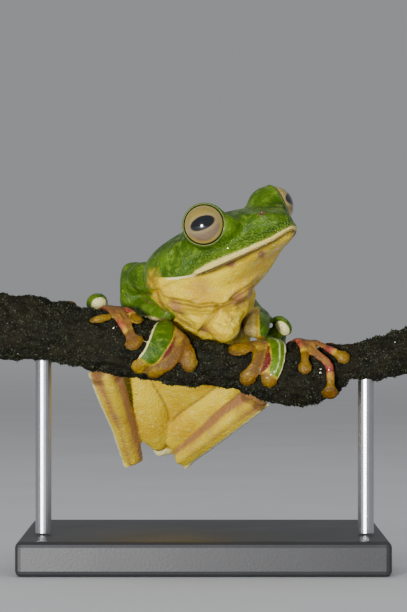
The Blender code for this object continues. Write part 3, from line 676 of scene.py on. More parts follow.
@dataclass
class Ball:
    """An ellipsoid of flesh, boxy where its power is below one."""

    name: str
    group: str
    centre: Row
    radii: Row
    tone: Tone
    axes: Array = field(default_factory=lambda: np.eye(3))
    soft: float = 1.0
    around: int = 40
    power: float = 1.0

    def shape(self) -> Shape:
        """The closed surface.

        Returns:
            Points and faces.
        """
        rows = self.around // 2
        turn = np.linspace(0.0, 2 * math.pi, self.around, endpoint=False)
        loops = []
        for tilt in np.linspace(0.0, math.pi, rows + 1)[1:-1]:
            across, height = math.sin(tilt), np.full(self.around, math.cos(tilt))
            loops.append(np.stack([np.cos(turn) * across, np.sin(turn) * across, height], axis=1))
        points, faces = tube(loops, np.array([(0, 0, 1.0), (0, 0, -1.0)]))
        points = np.sign(points) * np.abs(points) ** self.power
        return np.array(self.centre) + (points * np.array(self.radii)) @ self.axes, faces

    def read(self, points: Array) -> Reading:
        """Where the points lie on the ball.

        Args:
            points: The points.

        Returns:
            Their readings.
        """
        radii = np.array(self.radii)
        shares = (points - np.array(self.centre)) @ self.axes.T / radii
        first = np.sqrt((shares ** 2).sum(1))
        second = np.maximum(np.sqrt(((shares / radii) ** 2).sum(1)), 1e-6)
        across, along, over = np.clip(shares, -2.0, 2.0).T
        return Reading(along * 0.5 + 0.5, across, over, first * (first - 1.0) / second)


@dataclass
class Sheet:
    """A web: a thin sheet over the branch between two digits, with a scalloped free edge."""

    name: str
    group: str
    first: Iterable[Row]
    second: Iterable[Row]
    start: float
    end: float
    scallop: float
    tone: Tone
    soft: float = 0.15
    rows: int = 16
    columns: int = 8

    def grid(self, lift: float) -> Array:
        """Points of the sheet at this height over the branch.

        Args:
            lift: Height over the branch.

        Returns:
            Points by row and column.
        """
        stations = [np.array(list(rows), float) for rows in (self.first, self.second)]
        made = []
        for i in range(self.rows + 1):
            line = []
            for j in range(self.columns + 1):
                share = j / self.columns
                stop = self.end - self.scallop * 4 * share * (1 - share)
                t = self.start + (stop - self.start) * i / self.rows
                ends = [catmull(s, np.array([t * (len(s) - 1)]))[0] for s in stations]
                x, angle = ends[0][:2] + (ends[1][:2] - ends[0][:2]) * share
                line.append(on_branch(x, angle, lift)[0])
            made.append(line)
        return np.array(made)

    def shape(self) -> Shape:
        """The closed sheet.

        Returns:
            Points and faces.
        """
        low, high = self.grid(GAP + WEB_LIFT), self.grid(GAP + WEB_LIFT + WEB_THICKNESS)
        wide = self.columns + 1
        count = (self.rows + 1) * wide
        faces: list[tuple[int, ...]] = []
        for i in range(self.rows):
            for j in range(self.columns):
                corners = (i * wide + j, (i + 1) * wide + j, (i + 1) * wide + j + 1, i * wide + j + 1)
                faces += [corners, tuple(c + count for c in reversed(corners))]
        rim = list(range(self.columns)) + [i * wide + self.columns for i in range(self.rows)]
        rim += [self.rows * wide + j for j in range(self.columns, 0, -1)]
        rim += [i * wide for i in range(self.rows, 0, -1)]
        for a, b in zip(rim, rim[1:] + rim[:1]):
            faces.append((a, b, b + count, a + count))
        return np.concatenate([low.reshape(-1, 3), high.reshape(-1, 3)]), faces

    def read(self, points: Array) -> Reading:
        """Where the points lie on the sheet.

        Args:
            points: The points.

        Returns:
            Their readings.
        """
        grid = self.grid(GAP + WEB_LIFT + WEB_THICKNESS / 2)
        middle = grid.reshape(-1, 3)
        near = near_to(points, middle, 2.0)
        reading = Reading.nowhere(len(points))
        if near.any():
            asked = points[near]
            squares = squares_between(asked, middle)
            i = squares.argmin(1)
            distance = np.sqrt(np.maximum(squares[np.arange(len(i)), i], 0.0))
            reading.along[near] = (i // (self.columns + 1)) / self.rows
            reading.across[near] = (i % (self.columns + 1)) / self.columns
            reading.distance[near] = distance - WEB_THICKNESS / 2
        return reading


Mass = Sweep | Ball | Sheet


@dataclass
class HeadLoft:
    """The head without its eyes: crown and lip above the mouth's line, jaw and throat below it."""

    overhang: float = 1.1
    slices: int = 60
    points_a_quarter: int = 14

    def profile(self, share: float) -> Array:
        """The upper half of a section, as shares of its half width and height.

        Args:
            share: 0 at the snout and 1 at the cheek.

        Returns:
            Points from the lip to the crown.
        """
        places = np.linspace(0.0, len(SNOUT_PROFILE) - 1, self.points_a_quarter)
        snout = catmull(np.array(SNOUT_PROFILE), places)
        cheek = catmull(np.array(CHEEK_PROFILE), places)
        return snout + (cheek - snout) * share

    def shape(self) -> Shape:
        """The closed surface.

        Returns:
            Points and faces.
        """
        rows = catmull(np.array(HEAD_SECTIONS), np.linspace(0.0, len(HEAD_SECTIONS) - 1, self.slices))
        loops = []
        for back, half_width, crown, mouth, throat in rows:
            upper = self.profile(float(smoothstep(np.array(back), 9.0, 17.0)))
            across = np.concatenate([upper[:, 0], -upper[-2::-1, 0]]) * half_width
            up = mouth + np.concatenate([upper[:, 1], upper[-2::-1, 1]]) * (crown - mouth)
            turn = np.linspace(math.pi, 2 * math.pi, 2 * self.points_a_quarter)[1:-1]
            jaw = max(half_width - self.overhang, 0.2)
            under = np.sign(np.cos(turn)) * np.abs(np.cos(turn)) ** 0.85 * jaw
            down = mouth - np.abs(np.sin(turn)) ** 0.9 * throat
            loops.append(HEAD.place(back, np.concatenate([across, under]), np.concatenate([up, down])))
        return tube(loops, np.array([loops[0].mean(0), loops[-1].mean(0)]))

    @staticmethod
    def lip_sweep(name: str, above: float, inset: float, half_width: float, half_thick: float) -> Sweep:
        """A bead round the lip from corner to corner, or a cutter for the groove of the mouth.

        Args:
            name: Its name.
            above: Height over the mouth's line.
            inset: Distance inside the lip's edge.
            half_width: Half its width.
            half_thick: Half its thickness.

        Returns:
            The sweep.
        """
        backs = np.array((15.6, 13.2, 10.6, 8.0, 5.5, 3.5, 2.0, 0.8, 0.0))
        backs = np.concatenate([backs, backs[-2::-1]])
        signs = np.array([1.0] * 8 + [0.0] + [-1.0] * 8)
        edge, _, mouth, _ = at_abscissa(HEAD_SECTIONS, backs).T
        points = HEAD.place(backs, signs * edge, mouth + above)
        outward = unit(points - HEAD.place(backs + 4.0, 0.0 * backs, 0.0 * backs + above))
        points = points - outward * inset
        stations = [(*point, half_width, half_thick, *out) for point, out in zip(points, outward)]
        return Sweep(name, "body", stations, plain(), sides=12, ring_length=0.5)


@dataclass(frozen=True)
class Eye:
    """One eye: where its eyeball sits and the sizes of what surrounds it."""

    side: Side
    back: float = 10.4
    out: float = 9.5
    up: float = 4.85
    radius: float = 3.55
    gap: float = 0.12
    forward_turn: float = 36.0
    upward_turn: float = 7.0
    dome_radius: float = 4.0
    dome_sink: float = 0.85
    lid_top: float = 1.12
    lid_radius: float = 3.82
    opening: float = 3.47

    @property
    def centre(self) -> Array:
        """Middle of the eyeball."""
        return HEAD.place(self.back, self.side.value * self.out, self.up)

    @property
    def looks(self) -> Array:
        """The direction that it looks in.

        Returns:
            A unit direction.
        """
        forward, right, top = HEAD.axes()
        turned, raised = math.radians(self.forward_turn), math.radians(self.upward_turn)
        level = right * self.side.value * math.cos(turned) + forward * math.sin(turned)
        return level * math.cos(raised) + top * math.sin(raised)

    @property
    def axes(self) -> Array:
        """The eye's own axes as rows: along the head, up, and outwards where it looks.

        Returns:
            The three unit directions.
        """
        forward, _, top = HEAD.axes()
        along = unit(forward - self.looks * (forward @ self.looks))
        upward = np.cross(self.looks, along)
        return np.array((along, upward if upward @ top > 0 else -upward, self.looks))

    def lathe(self, profile: Iterable[Row], around: int = 72) -> Shape:
        """A closed ring turned round the axis of the eye.

        Args:
            profile: Radius and height along the axis of each corner of the ring's section.
            around: Number of steps round the axis.

        Returns:
            Points and faces of the ring.
        """
        centre, (along, upward, looks) = self.centre, self.axes
        corners = list(profile)
        points = []
        for turn in np.linspace(0.0, 2 * math.pi, around, endpoint=False):
            out = along * math.cos(turn) + upward * math.sin(turn)
            points += [centre + out * radius + looks * height for radius, height in corners]
        count = len(corners)
        faces = []
        for i in range(around):
            faces += ring_faces(i * count, (i + 1) % around * count, count)
        return np.array(points), faces

    def lid(self) -> Shape:
        """The rim of the eyelids, a low rounded ring that hugs the eyeball.

        Returns:
            Points and faces.
        """
        inner, outer, top = self.opening, self.lid_radius, self.lid_top
        return self.lathe((
            (inner - 0.02, top - 0.9), (inner - 0.02, top - 0.2), (inner + 0.04, top - 0.05),
            (inner + 0.13, top), (outer - 0.2, top - 0.06), (outer - 0.07, top - 0.18),
            (outer, top - 0.36), (outer - 0.05, top - 0.9),
        ))

    def socket(self) -> Shape:
        """The hollow that the eyeball sits in."""
        radii = (self.radius + self.gap,) * 3
        return Ball("socket", "", tuple(self.centre), radii, plain(), around=64).shape()

    def mouth_of_socket(self) -> Shape:
        """A round cutter from the eyeball out through the lids.

        Returns:
            Points and faces.
        """
        stations = [(*(self.centre + self.looks * reach), self.opening, self.opening)
                    for reach in (self.lid_top, 3.4, 5.8)]
        return Sweep("opening", "", stations, plain(), up=tuple(self.axes[1]), sides=72).shape()


EYES = tuple(Eye(side) for side in Side)


@dataclass
class Fold:
    """A groove or ridge drawn on a chart of the skin, lined with painted shade as strong as its shade."""

    chart: Chart
    line: tuple[Row, ...]
    depth: float
    width: float
    shade: float = 0.0


FOLDS = (
    Fold(Chart.FRONT, ((-6.6, 47.5), (-4.8, 47.2), (-2.4, 46.8), (-1.2, 47.0)), 0.22, 0.3, 0.6),
    Fold(Chart.FRONT, ((-5.4, 46.7), (-3.6, 46.35), (-0.6, 45.75), (1.8, 46.0), (3.2, 45.9), (4.6, 46.35),
                       (5.2, 47.2), (6.4, 48.1), (8.1, 49.15), (9.6, 50.4)), 0.6, 0.45, 1.0),
    Fold(Chart.FRONT, ((4.6, 46.3), (6.4, 46.8), (7.4, 47.2), (8.8, 48.5), (10.2, 49.2)), 0.35, 0.35, 0.7),
    Fold(Chart.FRONT, ((2.7, 45.6), (1.9, 44.4), (1.1, 43.4), (0.3, 42.4), (-0.3, 41.6)), 0.55, 0.45, 0.9),
    Fold(Chart.FRONT, ((3.1, 45.2), (4.6, 44.9), (6.4, 45.2), (7.5, 44.6), (6.6, 43.2)), 0.35, 0.35, 0.7),
    Fold(Chart.FRONT, ((3.4, 43.9), (4.4, 43.2), (5.6, 43.6)), 0.28, 0.3, 0.6),
    Fold(Chart.FRONT, ((2.4, 42.6), (3.5, 41.8), (4.8, 42.3), (5.8, 41.6)), 0.3, 0.3, 0.6),
    Fold(Chart.FRONT, ((-7.6, 49.3), (-5.6, 49.0), (-3.4, 49.2)), 0.12, 0.35, 0.2),
    Fold(Chart.FRONT, ((-5.8, 45.2), (-3.4, 44.4), (-1.2, 44.2)), 0.14, 0.35, 0.25),
    Fold(Chart.FRONT, ((-8.0, 48.3), (-7.5, 46.8), (-6.7, 45.6), (-5.4, 44.5), (-3.9, 43.6), (-2.2, 42.6)),
         0.7, 0.6, 1.0),
    Fold(Chart.CHEEK, ((14.6, 3.8), (16.6, 3.7), (18.8, 3.2), (21.0, 1.8), (22.6, -0.4)), -0.35, 0.75),
    Fold(Chart.CHEEK, ((15.6, -2.7), (17.2, -2.9), (19.4, -3.0), (22.0, -2.9)), 0.2, 0.4, 0.25),
)


@dataclass(frozen=True)
class Crumple:
    """The bunched skin under the jaw's left side, on the chart that the viewer sees."""

    across: float = 4.4
    up: float = 43.6
    reach: float = 3.6
    grain: float = 1.5
    depth: float = 0.55


@dataclass(frozen=True)
class Tympanum:
    """The eardrum: a low ring with a slightly sunken drum."""

    back: float = 18.5
    up: float = 0.9
    radius: float = 1.75
    height: float = 0.14


def limb_tones() -> dict[str, Tone]:
    """How each kind of limb is coloured, by where a point lies on it.

    Returns:
        A tone for each kind of limb.
    """

    def arm(reading: Reading) -> dict[str, Array | float]:
        """Green, with a little gold at the root."""
        green = smoothstep(reading.along, -0.3, 0.25)
        return {"green": green, "gold": 0.5 * (1 - green)}

    def forearm_left(reading: Reading) -> dict[str, Array | float]:
        """Green on its outer side and greyish pink on its inner side.

        Args:
            reading: Where points lie on it.

        Returns:
            Shares of the colours.
        """
        side = reading.across
        return {
            "green": smoothstep(side, 0.1, -0.5),
            "gold": 0.6 * bell(side, 0.35),
            "blush": 0.6 * smoothstep(side, 0.3, 0.9),
            "grey": 0.8 * smoothstep(side, -0.2, 0.3),
            "rind": 0.75 * smoothstep(side, -0.2, 0.5),
        }

    def thigh(reading: Reading) -> dict[str, Array | float]:
        """Cream in front, green behind and at the knee."""
        behind = smoothstep(reading.over, 0.05, -0.35)
        return {"green": np.maximum(behind, smoothstep(reading.along, 0.8, 0.9))}

    def shank(reading: Reading) -> dict[str, Array | float]:
        """Green behind, with a reddish flush in front.

        Args:
            reading: Where points lie on it.

        Returns:
            Shares of the colours.
        """
        return {
            "green": np.maximum(smoothstep(reading.over, 0.3, -0.2), smoothstep(reading.along, 0.2, 0.1)),
            "flush": 0.3 * smoothstep(reading.over, 0.0, 0.7),
        }

    def knee(reading: Reading) -> dict[str, Array | float]:
        """A pale patch inside a green rim."""
        rim = np.hypot(reading.across - 0.15, reading.over + 0.25)
        return {"green": smoothstep(rim, 0.5, 0.8), "pale": smoothstep(rim, 0.9, 0.45)}

    def disc(reading: Reading) -> dict[str, Array | float]:
        """Gold, with an olive line round its pad."""
        rim = np.hypot(reading.across, 2.0 * reading.along - 1.0)
        return {"gold": 1.0, "rind": 0.35 + 0.65 * bell(rim - DISC_RIM, 0.1) + 0.2 * bell(rim, 0.3)}

    return {"arm": arm, "forearm_right": plain(green=1.0), "forearm_left": forearm_left, "thigh": thigh,
            "shank": shank, "knee": knee, "disc": disc}


def tarsus_tone(outward: float) -> Tone:
    """The tarsus: cream with soft brownish-pink folds, a grey middle and a pale outer edge, green behind; the
    brownish-pink is deepened as painted shade in the fold next to the thigh and the hollow beside the tendon.

    Args:
        outward: 1 or -1, the side of the sweep that has the outer edge.

    Returns:
        The tone.
    """

    def tone(reading: Reading) -> dict[str, Array | float]:
        """Colours of points on a tarsus.

        Args:
            reading: Where points lie on it.

        Returns:
            Shares of the colours.
        """
        side = reading.across * outward
        front = smoothstep(reading.over, -0.5, 0.1)
        # Brownish-pink skin, deepened as painted shade in the fold by the thigh and the hollow beside the
        # tendon
        folds = 0.9 * bell(side - 0.3, 0.2) + 1.5 * bell(side + 0.75, 0.3)
        upper = smoothstep(reading.along, 0.1, 0.6)
        return {
            "green": 1.0 - front,
            "blush": front * np.clip(
                0.3 * smoothstep(side, 0.8, 0.5) + folds * (0.45 + 0.4 * upper)
                + 0.7 * smoothstep(reading.along, 0.6, 1.0), 0, 1),
            "grey": front * bell(side - 0.05, 0.3) * (0.6 + 0.4 * smoothstep(reading.along, 0.75, 0.4)),
            "pale": 0.7 * front * bell(side - 0.95, 0.14),
        }

    return tone


def digit_tone(root: str, switch: float, edge: float = 0.0, stripe: float = 0.0) -> Tone:
    """A digit: its root's colour, changing to gold towards the tip.

    Args:
        root: Name of the root's colour.
        switch: How far along the digit gold takes over.
        edge: Side of the digit that has a pale rim, 1 or -1, or 0 for none.
        stripe: How pale a stripe runs down its middle.

    Returns:
        The tone.
    """

    def tone(reading: Reading) -> dict[str, Array | float]:
        """Colours of points on a digit.

        Args:
            reading: Where points lie on it.

        Returns:
            Shares of the colours.
        """
        gold = smoothstep(reading.along, switch - 0.16, switch + 0.12)
        made: dict[str, Array | float] = {root: 1.0 - gold}
        made["gold"] = made.get("gold", 0.0) + gold
        if edge:
            rim = np.maximum(smoothstep(reading.across * edge, 0.5, 0.86), stripe * bell(reading.across, 0.2))
            made["pale"] = (1.0 - gold) * rim
        else:
            made["rind"] = 0.3 * smoothstep(np.abs(reading.across), 0.6, 1.0)
        return made

    return tone


# Each digit's tone: what digit_tone takes
DIGIT_TONES = {
    ("hand", "right"): {"four": ("green", 0.86, 1.0), "three": ("blush", 0.3), "two": ("gold", 0.1),
                        "one": ("gold", 0.2)},
    ("hand", "left"): {"four": ("green", 0.88, -1.0, 0.6), "three": ("flush", 0.3), "two": ("gold", 0.1),
                       "one": ("gold", 0.2)},
    ("foot", "right"): {"sole": ("flush", 1.4), "one": ("flush", 0.7), "two": ("flush", 0.76),
                        "three": ("flush", 0.75), "four": ("flush", 0.8), "five": ("flush", 0.8)},
    ("foot", "left"): {"sole": ("flush", 1.4), "one": ("flush", 0.6), "two": ("flush", 0.86),
                       "three": ("flush", 0.8), "four": ("flush", 0.8), "five": ("flush", 0.8)},
}


@dataclass
class Limbs:
    """Arms, legs, hands and feet as masses of flesh."""

    fringe_width: float = 0.6
    fringe_thickness: float = 0.32
    tendon_rise: float = 0.4
    flap_width: float = 1.1
    flap_thickness: float = 0.34
    elbow: tuple[Row, Row] = ((-12.2, 10.0, 49.2), (2.65, 2.8, 4.6))
    arm_fringe: tuple[Row, ...] = (
        (-11.6, 6.0, 43.9, 0.8, 0.3), (-9.6, 3.6, 43.7, 0.8, 0.3), (-7.9, 1.2, 43.4, 0.6, 0.3),
    )
    # Centre, radii and tilt in degrees
    knees: dict[str, tuple[Row, Row, float]] = field(default_factory=lambda: {
        "right": ((-19.0, 11.6, 46.6), (2.0, 2.2, 1.75), 20.0),
        "left": ((14.1, 11.6, 42.5), (2.15, 2.2, 1.45), -48.0),
    })
    tones: dict[str, Tone] = field(default_factory=limb_tones)

    def masses(self) -> list[Mass]:
        """All of them, both sides.

        Returns:
            The masses.
        """
        made: list[Mass] = []
        for side in Side:
            made += self.arm(side) + self.leg(side)
            made += self.digits("hand", side, HANDS[side.word])
            made += self.digits("foot", side, FEET[side.word])
        return made

    def arm(self, side: Side) -> list[Mass]:
        """Upper arm, forearm and, on the right, the flexed elbow that the viewer sees and its pale fringe.

        Args:
            side: Which side of the frog.

        Returns:
            The masses.
        """
        word = side.word
        group = f"hand_{word}_four"
        up = (0.0, -1.0, 0.0) if side is Side.RIGHT else (0.0, 0.0, 1.0)
        made: list[Mass] = [
            Sweep("upper_arm_" + word, group, UPPER_ARMS[word], self.tones["arm"]),
            Sweep("forearm_" + word, group, FOREARMS[word], self.tones["forearm_" + word], up=up),
        ]
        if side is Side.RIGHT:
            made.append(Ball("elbow", group, *self.elbow, plain(green=1.0), soft=0.4, power=0.6))
            made.append(Sweep("arm_fringe", group, self.arm_fringe, plain(pale=1.0), up=(0.0, -0.5, 1.0),
                              sides=12, soft=0.1))
        return made

    def leg(self, side: Side) -> list[Mass]:
        """Thigh, shank, knee, and the tarsus with its fringe and the flap at the heel.

        Args:
            side: Which side of the frog.

        Returns:
            The masses.
        """
        word = side.word
        outward = -1.0 if side is Side.RIGHT else 1.0
        tarsus = TARSI[word]
        drop = 0.0 if side is Side.RIGHT else 0.4
        fringe = [(x + outward * w * 0.9, y, z - w * drop, self.fringe_width, self.fringe_thickness)
                  for x, y, z, w, _ in tarsus]
        flap = [np.array(corner) for corner in HEEL_FLAPS[word]]
        middle = (flap[0] + flap[1]) / 2
        corners = [(*place, self.flap_width, self.flap_thickness) for place in (flap[0], middle, flap[1])]
        tendon = [(x - outward * 0.1 * w, y - self.tendon_rise, z - self.tendon_rise, 0.42 * w, t)
                  for x, y, z, w, t in tarsus]
        group = "tarsus_" + word
        centre, radii, tilt = self.knees[word]
        level, rise = math.cos(math.radians(tilt)), math.sin(math.radians(tilt))
        axes = np.array(((level, 0.0, rise), (0.0, 1.0, 0.0), (-rise, 0.0, level)))
        return [
            Sweep("thigh_" + word, "thigh_" + word, THIGHS[word], self.tones["thigh"], sides=32),
            Sweep("shank_" + word, "shank_" + word, SHANKS[word], self.tones["shank"]),
            Ball("knee_" + word, "thigh_" + word, centre, radii, self.tones["knee"], axes, 0.4),
            Sweep("tarsus_" + word, group, tarsus, tarsus_tone(outward)),
            Sweep("tendon_" + word, group, tendon, plain(grey=0.2, blush=0.25), soft=0.8),
            Sweep("ankle_" + word, "foot_" + word, ANKLES[word], plain(blush=0.8)),
            Sweep("fringe_" + word, group, fringe, plain(pale=0.7), sides=12, soft=0.1),
            Sweep("flap_" + word, group, corners, plain(pale=0.5), sides=12, soft=0.1),
        ]

    def digits(self, kind: str, side: Side, digits: dict[str, tuple]) -> list[Mass]:
        """A hand's or a foot's digits, their discs and the webs between them.

        Args:
            kind: hand or foot.
            side: Which side of the frog.
            digits: Each digit's stations over the branch and its disc.

        Returns:
            Sweeps for the digits, balls for the discs and sheets for the webs.
        """
        made: list[Mass] = []
        limb = f"{kind}_{side.word}"
        for key, (stations, tip) in digits.items():
            rows = []
            for x, angle, half_width in stations:
                centre, out = on_branch(x, angle, GAP + DIGIT_THICKNESS)
                rows.append((*centre, half_width, DIGIT_THICKNESS, *out))
            group = f"{limb}_{key}"
            if tip:
                x, angle, lift, half_width, half_length = tip
                centre, out = on_branch(x, angle, GAP + DISC_THICKNESS + lift)
                before, _ = on_branch(stations[-1][0], stations[-1][1], GAP + DISC_THICKNESS + lift)
                rows.append((*centre, stations[-1][2] * 0.9, DISC_THICKNESS * 0.8, *out))
                across = unit(np.cross(centre - before, out))
                axes = np.array((across, np.cross(out, across), out))
                radii = (half_width, half_length, DISC_THICKNESS)
                made.append(Ball(group + "_disc", group, tuple(centre), radii, self.tones["disc"], axes,
                                 soft=0.12, around=28))
            tone = digit_tone(*DIGIT_TONES[(kind, side.word)][key])
            made.append(Sweep(group, group, rows, tone, sides=18, ring_length=0.35, soft=0.12))
        for one, two, start, end, scallop in WEBS[(kind, side.word)]:
            made.append(Sheet(f"{limb}_web_{one}", f"{limb}_{one}", digits[one][0], digits[two][0],
                              start, end, scallop, plain(web=1.0)))
        return made


@dataclass
class Body:
    """Head and trunk as masses of flesh, and how they are coloured."""

    loft: HeadLoft = field(default_factory=HeadLoft)
    brow: Row = (11.6, 6.6, 3.3)
    brow_radii: Row = (3.9, 5.8, 3.2)
    nostril: Row = (3.3, 2.4, 3.8)
    nostril_pit: Row = (0.36, 0.55, 0.6)
    tympanum: Tympanum = field(default_factory=Tympanum)
    crumple: Crumple = field(default_factory=Crumple)
    # Distance behind the snout and the height of the cream band over the mouth there
    band_heights: tuple[Row, ...] = (
        (0.0, 0.5), (2.5, 0.6), (6.0, 0.75), (9.0, 0.95), (12.6, 1.0), (14.8, 0.65), (16.3, 0.3), (18.0, 0.2),
    )
    # Distance behind the snout and the height where green starts there
    green_edge: tuple[Row, ...] = (
        (0.0, -0.2), (14.8, -2.55), (16.3, -2.5), (18.8, -2.1), (21.0, -1.6), (23.8, -1.1), (25.5, -0.7),
        (34.0, -0.5),
    )
    # Across, up, half width and half height as the viewer sees it
    armpit_patch: Row = (-8.7, 50.6, 1.9, 2.9)
    # Across, up, radius and strength as the viewer sees them
    stains: tuple[Row, ...] = (
        (0.0, 49.4, 2.2, 0.5), (-5.2, 46.2, 1.3, 0.8), (-4.0, 44.9, 1.2, 0.6), (6.0, 47.2, 1.6, 0.9),
        (8.6, 48.6, 1.2, 0.8), (9.9, 54.9, 0.7, 1.2), (4.6, 53.4, 0.9, 1.2), (0.2, 41.6, 1.0, 0.9),
    )

    def masses(self) -> list[Shape]:
        """Closed shapes of the head and the trunk.

        Returns:
            Points in millimetres and faces of each.
        """
        axes = HEAD.ball_axes()
        made = [self.loft.shape(), self.loft.lip_sweep("lip", 0.5, 0.45, 0.52, 0.55).shape()]
        for eye in EYES:
            sign = eye.side.value
            sunk = tuple(eye.centre - eye.looks * eye.dome_sink)
            brow = tuple(HEAD.place(self.brow[0], sign * self.brow[1], self.brow[2]))
            bump = tuple(HEAD.place(self.nostril[0], sign * self.nostril[1], self.nostril[2] - 0.45))
            made.append(Ball("dome", "", sunk, (eye.dome_radius,) * 3, plain(), axes, around=56).shape())
            made.append(Ball("brow", "", brow, self.brow_radii, plain(), axes).shape())
            made.append(Ball("bump", "", bump, (1.05,) * 3, plain(), axes).shape())
        made.append(Ball("throat", "", *THROAT, plain()).shape())
        made.append(Sweep("torso", "", TRUNK, plain(), sides=48).shape())
        for centre, radii in (CHEST, BUNCH, *SHOULDERS.values(), VENT_FOLD):
            made.append(Ball("mass", "", centre, radii, plain()).shape())
        return made

    def tones(self, points: Array) -> dict[str, Array]:
        """How the head and trunk are coloured at each point.

        Args:
            points: Places on the skin.

        Returns:
            Shares of the colours.
        """
        back, right, up = HEAD.measure(points)
        trunk = Sweep("torso", "", TRUNK, plain()).read(points)
        edge = at_abscissa(self.green_edge, back)[:, 0]
        head_green = smoothstep(up - edge, -0.1, 0.25)
        drift = scatter(points, 1.8)
        rear = smoothstep(back + 3.0 * drift, 23.0, 35.0)
        trunk_green = smoothstep(trunk.over + 0.15 * drift, 0.28, -0.02)
        flank = smoothstep(points[:, 0] + 0.9 * drift, -7.6, -9.6) * smoothstep(points[:, 2], 43.0, 45.0)
        nape = smoothstep(points[:, 1] + 0.9 * drift, 6.0, 8.5) * smoothstep(points[:, 2], 44.0, 47.0)
        green = np.maximum(head_green * (1 - rear) + trunk_green * rear, np.maximum(flank, nape))
        stained = sum(strength * bell(np.hypot(points[:, 0] - x, points[:, 2] - z), radius)
                      for x, z, radius, strength in self.stains)
        vent = bell(np.linalg.norm(points - np.array(VENT_FOLD[0]), axis=1), 1.9)
        edge_line = smoothstep(back, 14.0, 16.5) * smoothstep(back, 22.5, 19.5) * bell(up - edge + 0.1, 0.22)
        return {"green": green, "pale": np.maximum(1.4 * vent, edge_line),
                "blush": stained * smoothstep(points[:, 1], 6.0, 3.0) * (1 - green)}

    def armpit(self, points: Array) -> Array:
        """How near each point is to the olive patch where the right arm leaves the throat.

        Args:
            points: Places on the skin.

        Returns:
            1 at the patch's middle, falling to 0.
        """
        x, up, wide, high = self.armpit_patch
        away = np.hypot((points[:, 0] - x) / wide, (points[:, 2] - up) / high)
        return bell(away, 1.0) * smoothstep(points[:, 1], 8.0, 5.0)

    def by_the_mouth(self, points: Array) -> tuple[Array, Array]:
        """Height over the mouth's line, in heights of its cream band, and how near each point is to it.

        Args:
            points: Places on the skin.

        Returns:
            The heights and the nearness.
        """
        back, _, up = HEAD.measure(points)
        mouth = at_abscissa(HEAD_SECTIONS, back)[:, 2]
        height = at_abscissa(self.band_heights, back)[:, 0]
        return (up - mouth) / height, smoothstep(back, 17.4, 14.4)

    def folds(self, points: Array, normals: Array, body: Array) -> tuple[Array, Array]:
        """Folds, eardrums and crumpled skin.

        Args:
            points: Places on the skin.
            normals: Its directions there.
            body: How surely each point is on the head or trunk.

        Returns:
            How far the skin moves outwards at each point, and how much painted shade the crease there gets.
        """
        back, right, up = HEAD.measure(points)
        facing = smoothstep(-normals[:, 1], 0.05, 0.4) * body
        charts = {
            Chart.FRONT: (points[:, [0, 2]], facing * smoothstep(points[:, 1], 6.0, 3.0)),
            Chart.CHEEK: (np.stack([back, up], axis=1), body * smoothstep(np.abs(right), 4.0, 6.0)),
        }
        push, crease = np.zeros(len(points)), np.zeros(len(points))
        for fold in FOLDS:
            flat, mask = charts[fold.chart]
            away = polyline_distance(flat, np.array(fold.line))
            shoulder = bell(away - 2.0 * fold.width, fold.width) * 0.35 * max(fold.depth, 0.0)
            push += mask * (shoulder - fold.depth * bell(away, fold.width))
            # Each fold is lined with painted shade of its own strength
            crease = np.maximum(crease, mask * fold.shade * bell(away, fold.width * 0.75))
        drum = self.tympanum
        ring = np.hypot(back - drum.back, up - drum.up) - drum.radius
        cheek = body * smoothstep(np.abs(right), 6.0, 8.0)
        push += cheek * drum.height * (bell(ring, 0.3) - 0.6 * smoothstep(ring, 0.0, -0.5))
        bunch = self.crumple
        near = facing * bell(np.hypot(points[:, 0] - bunch.across, points[:, 2] - bunch.up), bunch.reach)
        ridged = scatter(points, bunch.grain)
        push += near * bunch.depth * (np.abs(ridged) - 0.25)
        # The crumpled skin's valleys get painted shade too
        return push, np.maximum(crease, near * 0.8 * bell(ridged, 0.085))


TONE_NAMES = ("green", "gold", "flush", "blush", "grey", "rind", "web", "pale")


